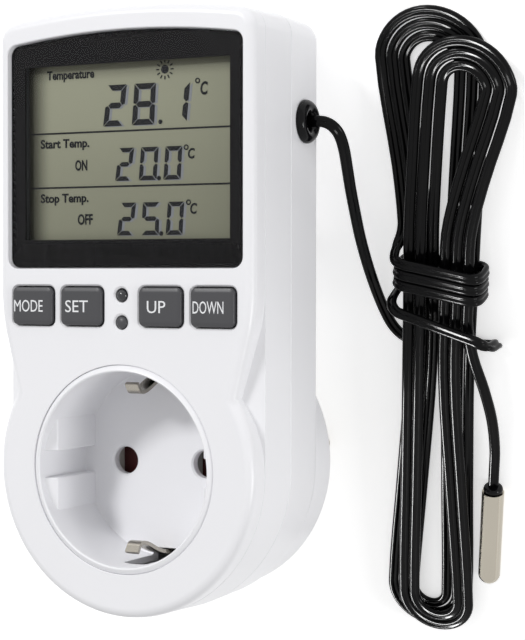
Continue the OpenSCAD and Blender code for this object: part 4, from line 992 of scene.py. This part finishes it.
class FrontOperator(bpy.types.Operator):
    """The front shell with its ledge, waist, lens seat and openings"""
    bl_idname = "controller.front"
    bl_label = "Front shell"

    def execute(self, context):
        h, d = sizes(SCENE.controller_housing), sizes(SCENE.controller_display)
        s, k = sizes(SCENE.controller_socket), sizes(SCENE.controller_keys)
        wall, draft, ledge, joint, through = h["wall"], h["draft"], h["ledge"], h["joint"], -h["face"] - OVER
        waist_in = h["half_width"] - sqrt((h["half_width"] - draft) ** 2 - WAIST ** 2) - draft
        shell = lifted(body_outline(h, 0, CHAMFER - joint), [(draft, joint - CHAMFER - ledge), (waist_in, 2)],
                       [(CHAMFER, CHAMFER)])
        face = lifted(face_outline(h, draft + 0.05, -ledge - OVER),
                      [(0, ledge + OVER - h["front_round"])] + rounding(h["front_round"], 6))
        combine(shell, "UNION", face)
        low_room = lifted(body_outline(h, draft + wall, -joint - OVER), [(0, joint + OVER - ledge - wall)])
        high_room = lifted(face_outline(h, draft + wall + 0.05, -ledge - wall - OVER),
                           [(0, ledge + wall + OVER - h["face"])])
        combine(low_room, "UNION", high_room)
        combine(shell, "DIFFERENCE", low_room)
        flare, seat_depth, spare = 0.18, 1.75, 1.6
        cuts = [lifted(lens_outline(h, d, -flare, OVER), [(0, -OVER), (flare, -flare), (0, flare - seat_depth)]),
                brick(0, d["window_middle"], d["window_width"] + spare, d["window_height"] + spare, through, -1)]
        gap, rim = 0.25, 0.35
        for x in key_places(k):
            hole = plate_outline(k["width"] + 2 * gap + 2 * rim, k["height"] + 2 * gap + 2 * rim, 1.35 + rim, x,
                                 k["row"], OVER)
            cuts.append(lifted(hole, [(0, -OVER), (rim, -rim), (0, through + rim)]))
        for y in (LAMP_Y, RESET_Y):
            cuts.append(bore(k["dot"] / 2 + 0.15, 0.4, 0.3, 0, through, (0, y)))
        cuts.append(bore(s["ring"] + 0.05, 0.1, 0.1, 0, through, sides=128))
        combine(shell, "DIFFERENCE", *cuts)
        finish(shell, "front_shell", "white_abs", "housing", ["front_housing"], angle=32)
        return {"FINISHED"}


# The housing's screws: the upper pair's place, and the lower pair's distance from the axis and turn from
# straight down; then the radii of a screw's pilot hole and of the well for its head, and the well's floor
SCREW_AT, LOW_SCREW_REACH, LOW_SCREW_TURN = (22, 86.6), 25.2, radians(46)
PILOT, WELL, WELL_FLOOR = 1.15, 2.4, -22


class RearOperator(bpy.types.Operator):
    """The rear shell with its round base, screw wells and the hole for the grommet"""
    bl_idname = "controller.rear"
    bl_label = "Rear shell"

    def execute(self, context):
        h, s = sizes(SCENE.controller_housing), sizes(SCENE.controller_socket)
        wall, draft, joint, depth = h["wall"], h["draft"], h["joint"], h["depth"]
        shell = lifted(body_outline(h, 0, -joint - CHAMFER),
                       [(draft, -(depth - h["rear_round"] - joint - CHAMFER))]
                       + [(i, -u) for i, u in rounding(h["rear_round"], 6)], [(CHAMFER, CHAMFER)])
        low, radius, edge = -h["base_depth"], h["base_radius"], BASE_ROUND
        foot = [(radius - edge + edge * cos(a), low + edge - edge * sin(a)) for a in even_turns(pi / 2, 6)]
        base = turned([(0, -depth + OVER), (radius, -depth + OVER)] + foot + [(0, low)], sides=128)
        combine(shell, "UNION", base)
        room = lifted(body_outline(h, draft + wall, -joint + OVER), [(0, -(depth - wall - joint + OVER))])
        combine(room, "UNION", rod(0, 0, radius - wall, low + wall, -joint - 1, sides=96))
        combine(room, "UNION", rod(0, 0, s["plug"] / 2 + 0.15, low - OVER, -joint - 1, sides=96))
        combine(shell, "DIFFERENCE", room)
        top_x, top_y = SCREW_AT
        low_x, low_y = LOW_SCREW_REACH * sin(LOW_SCREW_TURN), -LOW_SCREW_REACH * cos(LOW_SCREW_TURN)
        columns, drills = [], []
        for x, y, back in ((top_x, top_y, depth), (-top_x, top_y, depth),
                           (low_x, low_y, -low), (-low_x, low_y, -low)):
            columns.append(rod(x, y, 3, -back + wall - 0.3, -joint, sides=40))
            drills.append(turned([(0, -joint + 1), (PILOT, -joint + 1), (PILOT, WELL_FLOOR), (WELL, WELL_FLOOR),
                                  (WELL, -back + 0.25), (WELL + 0.25, -back), (WELL + 0.25, -back - 1),
                                  (0, -back - 1)], sides=48, at=(x, y)))
        combine(shell, "UNION", *columns)
        mouth = rod(0, 0, 3.25, 20, 34, sides=48)
        mouth.data.transform(Matrix.Translation((0, GROMMET_UP, -GROMMET_BACK)) @ Matrix.Rotation(pi / 2, 4, "Y"))
        combine(shell, "DIFFERENCE", mouth, *drills)
        finish(shell, "rear_shell", "white_abs", "housing", ["rear_housing"], angle=32)
        return {"FINISHED"}


def segments(digit, corners, thick, z, tall, shift=(0, 0)):
    """The lit segments of one digit, mitred with fine gaps at their ends, slanted into its four corners"""
    lit = {"0": "abcdef", "1": "bc", "2": "abged", "3": "abgcd", "4": "fgbc", "5": "afgcd", "6": "afgedc", "7": "abc",
           "8": "abcdefg", "9": "abcdfg"}[digit]
    xs, high_y, low_y = [x + shift[0] for x in corners[:4]], corners[4] + shift[1], corners[5] + shift[1]
    top_left, top_right = Vector((xs[0], high_y)), Vector((xs[1], high_y))
    low_left, low_right = Vector((xs[2], low_y)), Vector((xs[3], low_y))
    wide, high, gap = (low_right - low_left).length, (top_left - low_left).length, 0.12
    half, middle = thick / 2, high / 2
    bar = [(gap, 0), (wide - gap, 0), (wide - gap - thick, thick), (gap + thick, thick)]
    post = [(0, gap), (thick, gap + thick), (thick, middle - gap - half), (half, middle - gap / 2),
            (0, middle - gap / 2 - half * 0.4)]
    dash = [(half + gap, middle), (thick + gap, middle - half), (wide - thick - gap, middle - half),
            (wide - half - gap, middle), (wide - thick - gap, middle + half), (thick + gap, middle + half)]
    shapes = {"d": bar, "a": [(x, high - y) for x, y in bar], "g": dash, "e": post,
              "f": [(x, high - y) for x, y in post], "c": [(wide - x, y) for x, y in post],
              "b": [(wide - x, high - y) for x, y in post]}
    made = [prism(shapes[name], z, z + tall, "xyz") for name in lit]
    joined = join(made[0], *made[1:])
    for v in joined.data.vertices:
        u, w = v.co.x / wide, v.co.y / high
        place = low_left.lerp(low_right, u).lerp(top_left.lerp(top_right, u), w)
        v.co.x, v.co.y = place.x, place.y
    return joined


# The display's numbers: the width of a segment, then for each digit the x of its upper left, upper right,
# lower left and lower right corners with the height of its top and foot, then the decimal point
NUMBERS = {
    "measured": (1.15, ((-4.98, -0.53, -6.1, -1.51, 76.5, 68.3), (1.31, 6.22, 0.65, 5.79, 76.5, 68.3),
                        (9.6, 14.0, 8.7, 13.2, 76.3, 68.6)), (7.24, 68.75)),
    "lower_limit": (0.9, ((-2.35, 1.19, -3.26, 0.22, 63.9, 57.35), (2.8, 6.85, 2.25, 6.32, 63.9, 57.35),
                          (8.45, 12.23, 7.92, 11.82, 63.9, 57.35)), (6.92, 57.7)),
    "upper_limit": (0.9, ((-1.91, 1.62, -2.84, 0.75, 53.0, 46.5), (3.22, 7.06, 2.8, 6.84, 53.0, 46.5),
                          (8.98, 12.66, 8.45, 12.23, 53.0, 46.5)), (7.44, 46.8)),
}
# Each degree sign's ring, and the box (left, low, right, high) of the C after it
DEGREES = (((15.67, 76.44), (16.3, 73.6, 17.95, 76.25)), ((13.11, 63.57), (13.5, 61.3, 15.05, 63.4)),
           ((13.63, 52.83), (14.0, 50.5, 15.56, 52.7)))
# The captions and their boxes, the two lines between the rows, and the middle of the small sun
CAPTIONS = (("Temperature", (-19.6, 77.6, -8.2, 80.0)), ("Start Temp.", (-21.2, 63.75, -9.4, 66.15)),
            ("Stop Temp.", (-21.2, 52.7, -9.6, 55.1)), ("ON", (-12.8, 59.6, -9.9, 61.8)),
            ("OFF", (-12.2, 48.7, -8.6, 50.9)))
LINES, SUN = (67.3, 56.3), (8.27, 79.01)
# Heights of the marks and of their shadows over the cell, the marks' thickness, and the shadows' shift
MARKS, SHADOWS, MARK_TALL, CAST = CELL_FRONT + 0.045, CELL_FRONT + 0.004, 0.03, (0.6, -0.15)


class DisplayOperator(bpy.types.Operator):
    """The lens, and what the display shows: three numbers, their marks, lines and captions"""
    bl_idname = "controller.display"
    bl_label = "Display"

    def execute(self, context):
        h, d = sizes(SCENE.controller_housing), sizes(SCENE.controller_display)
        lens = lifted(lens_outline(h, d, 0.15, -1.35), [(0, 1.08)] + rounding(0.12, 2))
        finish(lens, "lens", "clear_lens", "housing", ["display_lens"])
        over, dark, soft = MARKS + MARK_TALL, [], []
        for name, (thick, places, point) in NUMBERS.items():
            for character, corners in zip(d[name].replace(".", ""), places):
                dark.append(segments(character, corners, thick, MARKS, MARK_TALL))
                soft.append(segments(character, corners, thick, SHADOWS, 0.02, CAST))
            dark.append(rod(*point, 0.46, MARKS, over, sides=24))
        for ring, letter in DEGREES:
            dark.append(turned([(0.3, MARKS), (0.56, MARKS), (0.56, over), (0.3, over), (0.3, MARKS)], 24, ring))
            dark.append(lettering("C", letter, MARKS, MARK_TALL, 0.03, slant=0.1))
        for y in LINES:
            dark.append(brick(0, y, d["window_width"] - 0.4, 0.34, MARKS, over))
        dark.append(rod(*SUN, 0.85, MARKS, over, sides=32))
        for i in range(12):
            ray = brick(1.65, 0, 0.7, 0.26, MARKS, over)
            ray.data.transform(Matrix.Translation((*SUN, 0)) @ Matrix.Rotation(pi / 6 * i, 4, "Z"))
            dark.append(ray)
        for text, box in CAPTIONS:
            dark.append(lettering(text, box, MARKS, MARK_TALL, 0.03))
        finish(join(*dark), "display_marks", "segment_ink", "housing")
        finish(join(*soft), "display_shadows", "segment_shadow", "housing")
        return {"FINISHED"}


# Each key: its body, its caption, half of the caption's width and how far it sits to the left
KEYS = (("mode", "MODE", 3.5, 0.8), ("set", "SET", 2.7, 0.9), ("up", "UP", 2.1, 0.65), ("down", "DOWN", 3.4, 0.78))


class KeysOperator(bpy.types.Operator):
    """The four keys with their captions, and the reset pin"""
    bl_idname = "controller.keys"
    bl_label = "Keys"

    def execute(self, context):
        k, h = sizes(SCENE.controller_keys), sizes(SCENE.controller_housing)
        y, rim_front, rim_wide, letters_half = k["row"], h["face"] + 0.1, 1.3, 1.2
        for x, (name, caption, half, left) in zip(key_places(k), KEYS):
            cap = lifted(plate_outline(k["width"], k["height"], 1.1, x, y, -rim_front),
                         [(0, rim_front + k["proud"] - 0.46)] + rounding(0.32, 4) + [(0.35, 0.1), (0.3, 0.04)])
            rim = lifted(plate_outline(k["width"] + rim_wide, k["height"] + rim_wide, 1.3, x, y, -rim_front - 1),
                         [(0, 1)])
            combine(cap, "UNION", rim, rod(x, y, 1.5, SWITCH_FRONT, -rim_front - OVER, sides=32))
            finish(cap, name + "_cap", "key_grey", name + "_key", ["button_" + name])
            box = (x - half - left, y - letters_half, x + half - left, y + letters_half)
            finish(lettering(caption, box, k["proud"] - 0.02, 0.05, 0.0), name + "_caption", "caption_ink",
                   name + "_key")
        r, low = k["dot"] / 2, -rim_front
        pin = turned([(0, SWITCH_FRONT), (1.2, SWITCH_FRONT), (1.2, low - 0.8), (r + 0.6, low - 0.8), (r + 0.6, low),
                      (r, low), (r, -0.55), (r * 0.92, -0.2), (r * 0.7, 0.05), (r * 0.38, 0.2), (0, 0.24)],
                     sides=48, at=(0, RESET_Y))
        finish(pin, "reset_pin", "key_grey", "reset_key", ["reset_button"], angle=50)
        return {"FINISHED"}


# The earth contact's strip: its thickness and the height of its foot
STRIP, STRIP_FOOT = 0.8, -24.4
# The return spring: its wire, its turns and the steps in a turn
SPRING_WIRE, SPRING_TURNS, SPRING_STEPS = 0.35, 6, 16


def socket_cup(s):
    """The socket's ring and recess, with its guide ribs, pin holes and the slots for the earth springs"""
    ring, recess, depth = s["ring"], s["recess"], s["recess_depth"]
    back, lip = depth + 2, 0.3
    cup = turned([(0, -back), (ring, -back), (ring, -3.8), (ring + 2, -3.8), (ring + 2, -2.6), (ring, -2.6),
                  (ring, -0.45), (ring - 0.12, -0.26), (recess + 0.55, 0.2), (recess + 0.3, lip - 0.02),
                  (recess + 0.12, lip - 0.12), (recess, 0), (recess, -depth + 0.5), (recess - 0.15, -depth + 0.14),
                  (recess - 0.5, -depth), (0, -depth)], sides=160)
    ribs = []
    for sx in (1, -1):
        for sy in (1, -1):
            rib = prism([(17, -3), (ring - 0.3, -0.24), (ring - 0.3, -depth - OVER), (17, -depth - OVER)], 2.7, 9.5,
                        "xzy")
            rib.data.transform(Matrix.Diagonal((sx, sy, 1, 1)))
            if sx * sy < 0:
                rib.data.flip_normals()
            ribs.append(rib)
    guides = join(*ribs)
    bevel = guides.modifiers.new("edges", "BEVEL")
    bevel.width, bevel.segments, bevel.limit_method = 0.35, 3, "ANGLE"
    settle(guides)
    combine(guides, "INTERSECT", rod(0, 0, recess + 0.2, -depth - 0.3, 0.1, sides=160))
    combine(cup, "UNION", guides)
    slot_low, slot_high = recess - 1.8, ring + 0.3
    cuts = [bore(s["hole"] / 2, 0.35, 0.35, -depth, -back - OVER, (x, 0), sides=64)
            for x in (-s["pin_place"], s["pin_place"])]
    cuts += [brick(0, sy * (slot_low + slot_high) / 2, 5.4, slot_high - slot_low, -back - OVER, -5.2)
             for sy in (1, -1)]
    combine(cup, "DIFFERENCE", *cuts)
    return cup


def earth_strip(recess):
    """The earth contact: one strip across the back and two springy arms that stand in the recess"""
    root = recess - 0.95
    bends = [(root, STRIP_FOOT + STRIP / 2), (root, -14.5), (14.4, -5.8), (17.0, -4.0)]
    # cutting every corner three times rounds the bends
    for _ in range(3):
        cut = [bends[0]]
        for a, b in zip(bends, bends[1:]):
            cut += [(a[0] * 0.75 + b[0] * 0.25, a[1] * 0.75 + b[1] * 0.25),
                    (a[0] * 0.25 + b[0] * 0.75, a[1] * 0.25 + b[1] * 0.75)]
        bends = cut + [bends[-1]]
    strips = [brick(0, 0, 5, 2 * root + STRIP, STRIP_FOOT, STRIP_FOOT + STRIP)]
    for sy in (1, -1):
        bm = bmesh.new()
        verts = [bm.verts.new((-1.5, sy * y, z)) for y, z in bends]
        edges = [bm.edges.new(pair) for pair in zip(verts, verts[1:])]
        drawn = bmesh.ops.extrude_edge_only(bm, edges=edges)["geom"]
        bmesh.ops.translate(bm, verts=[v for v in drawn if isinstance(v, bmesh.types.BMVert)], vec=(3, 0, 0))
        arm = solid(bm, "arm")
        wall = arm.modifiers.new("wall", "SOLIDIFY")
        wall.thickness, wall.offset = STRIP, 0
        settle(arm)
        strips.append(arm)
    return join(*strips)


def return_spring():
    """The coil that fills the place of the shutter's spring, with its fixed end at the cover's post"""
    low, high = (Vector(corner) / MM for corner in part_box("shutter_spring"))
    middle, r, steps = (low + high) / 2, SPRING_WIRE / 2, SPRING_TURNS * SPRING_STEPS
    coil, run = (high.y - low.y) / 2 - r, high.x - low.x - 4 * r
    points = []
    for i in range(steps + 1):
        a = 2 * pi * i / SPRING_STEPS
        points.append(Vector((low.x + 2 * r + run * i / steps, middle.y + coil * sin(a), middle.z + coil * cos(a))))
    section = [(r * cos(pi / 4 * i), r * sin(pi / 4 * i)) for i in range(8)]
    spring = swept("return_spring", points, section)
    finish(spring, "return_spring", "zinc_steel", "housing", ["shutter_spring"], place=FLAT)
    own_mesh(spring)


class SocketOperator(bpy.types.Operator):
    """The socket with its recess and pin holes, the earth springs and the shutter's return spring"""
    bl_idname = "controller.socket"
    bl_label = "Socket"

    def execute(self, context):
        s = sizes(SCENE.controller_socket)
        finish(socket_cup(s), "socket_cup", "white_abs", "housing", ["socket_insert"], angle=32)
        finish(earth_strip(s["recess"]), "earth_springs", "nickel", "housing", ["earth_bracket"], edge=0.12,
               angle=40)
        return_spring()
        return {"FINISHED"}


# Each lamp: its name, place, width, height and watts; they all look at one point
LAMPS = (("key_lamp", (-0.52, 1.2, 0.76), 0.28, 0.28, 11), ("side_lamp", (1.3, -0.1, 0.45), 0.35, 0.35, 5.5),
         ("strip_lamp", (-0.51, -0.65, 0.966), 0.22, 0.55, 42))
LIGHT_AIM = Vector((0, 0, 0.03))
# Strength of the world as light, and of the floor's own glow where it is seen
WORLD_LIGHT, FLOOR_GLOW = 0.47, 0.52


def seen_rays(tree, elsewhere, seen):
    """A strength that is one value where the camera, a gloss or a clear piece sees it, and another as light"""
    path = add_node(tree, "ShaderNodeLightPath")
    ray = path.outputs["Is Camera Ray"]
    for other in ("Is Glossy Ray", "Is Transmission Ray"):
        ray = add_node(tree, "ShaderNodeMath", [(0, ray), (1, path.outputs[other])], operation="MAXIMUM").outputs[0]
    return add_node(tree, "ShaderNodeMapRange", [("Value", ray)], To_Min=elsewhere, To_Max=seen).outputs["Result"]


class StageOperator(bpy.types.Operator):
    """White floor, soft lamps and a plain world"""
    bl_idname = "controller.stage"
    bl_label = "Stage"

    def execute(self, context):
        bm = bmesh.new()
        bmesh.ops.create_grid(bm, x_segments=1, y_segments=1, size=3)
        mesh = bpy.data.meshes.new("floor")
        bm.to_mesh(mesh)
        bm.free()
        floor = bpy.data.objects.new("floor", mesh)
        SCENE.collection.objects.link(floor)
        # Smooth white paper: dull, with no gloss of its own, and its glow keeps it white where it is seen
        paper = surface("Paper, white sweep", "#FAFAFA", 0.8, grain_mm=2, spread=0.002, bump_mm=0.0,
                        Specular_IOR_Level=0.0)
        tree = paper.node_tree
        glow = add_node(tree, "ShaderNodeEmission", [("Strength", seen_rays(tree, 0.0, FLOOR_GLOW))])
        both = add_node(tree, "ShaderNodeAddShader", [(0, tree.nodes["Principled BSDF"].outputs[0]),
                                                      (1, glow.outputs[0])])
        tree.links.new(both.outputs[0], tree.nodes["Material Output"].inputs["Surface"])
        floor.data.materials.append(paper)
        world = bpy.data.worlds.new("studio")
        SCENE.world = world
        world.use_nodes = True
        tree = world.node_tree
        sky = tree.nodes["Background"]
        tree.links.new(seen_rays(tree, WORLD_LIGHT, 1.0), sky.inputs["Strength"])
        sky.inputs["Color"].default_value = (1, 1, 1, 1)
        for name, place, wide, tall, watts in LAMPS:
            data = bpy.data.lights.new(name, "AREA")
            data.shape, data.size, data.size_y, data.energy = "RECTANGLE", wide, tall, watts
            lamp = bpy.data.objects.new(name, data)
            SCENE.collection.objects.link(lamp)
            if name == "strip_lamp":
                # the strip only shows as the thin bright lines on the cord's gloss
                lamp.visible_diffuse = False
                glossy = bpy.data.collections.new("strip_lit")
                glossy.objects.link(bpy.data.objects["sensor_cord"])
                lamp.light_linking.receiver_collection = glossy
            turn = (Vector(place) - LIGHT_AIM).to_track_quat("Z", "Y").to_matrix().to_4x4()
            lamp.matrix_world = Matrix.Translation(place) @ turn
        SCENE.view_settings.view_transform = "Standard"
        return {"FINISHED"}


class ControllerPanel(bpy.types.Panel):
    """Lists the controller's sizes and the steps that make it"""
    bl_idname = "VIEW3D_PT_controller"
    bl_label = "Temperature Controller"
    bl_space_type = "VIEW_3D"
    bl_region_type = "UI"
    bl_category = "Controller"

    def draw(self, context):
        for name, group in GROUPS.items():
            self.layout.label(text=group.__doc__)
            for key in group.__annotations__:
                self.layout.prop(getattr(context.scene, name), key)
        for operator in OPERATORS:
            self.layout.operator(operator.bl_idname)


GROUPS = {"controller_housing": HousingSizes, "controller_display": DisplaySizes, "controller_socket": SocketSizes,
          "controller_keys": KeySizes, "controller_cord": CordSizes}
OPERATORS = (ViewOperator, GrommetOperator, ProbeOperator, CordOperator, FinishesOperator, FrontOperator,
             RearOperator, DisplayOperator, KeysOperator, SocketOperator, StageOperator)


def register():
    for group in GROUPS.values():
        bpy.utils.register_class(group)
    for name, group in GROUPS.items():
        setattr(bpy.types.Scene, name, PointerProperty(type=group))
    for made in (*OPERATORS, ControllerPanel):
        bpy.utils.register_class(made)


def unregister():
    for made in (*OPERATORS, ControllerPanel):
        bpy.utils.unregister_class(made)
    for name in GROUPS:
        delattr(bpy.types.Scene, name)
    for group in GROUPS.values():
        bpy.utils.unregister_class(group)


def main():
    register()
    for operator in OPERATORS:
        family, name = operator.bl_idname.split(".")
        getattr(getattr(bpy.ops, family), name)()


if __name__ == "__main__":
    main()
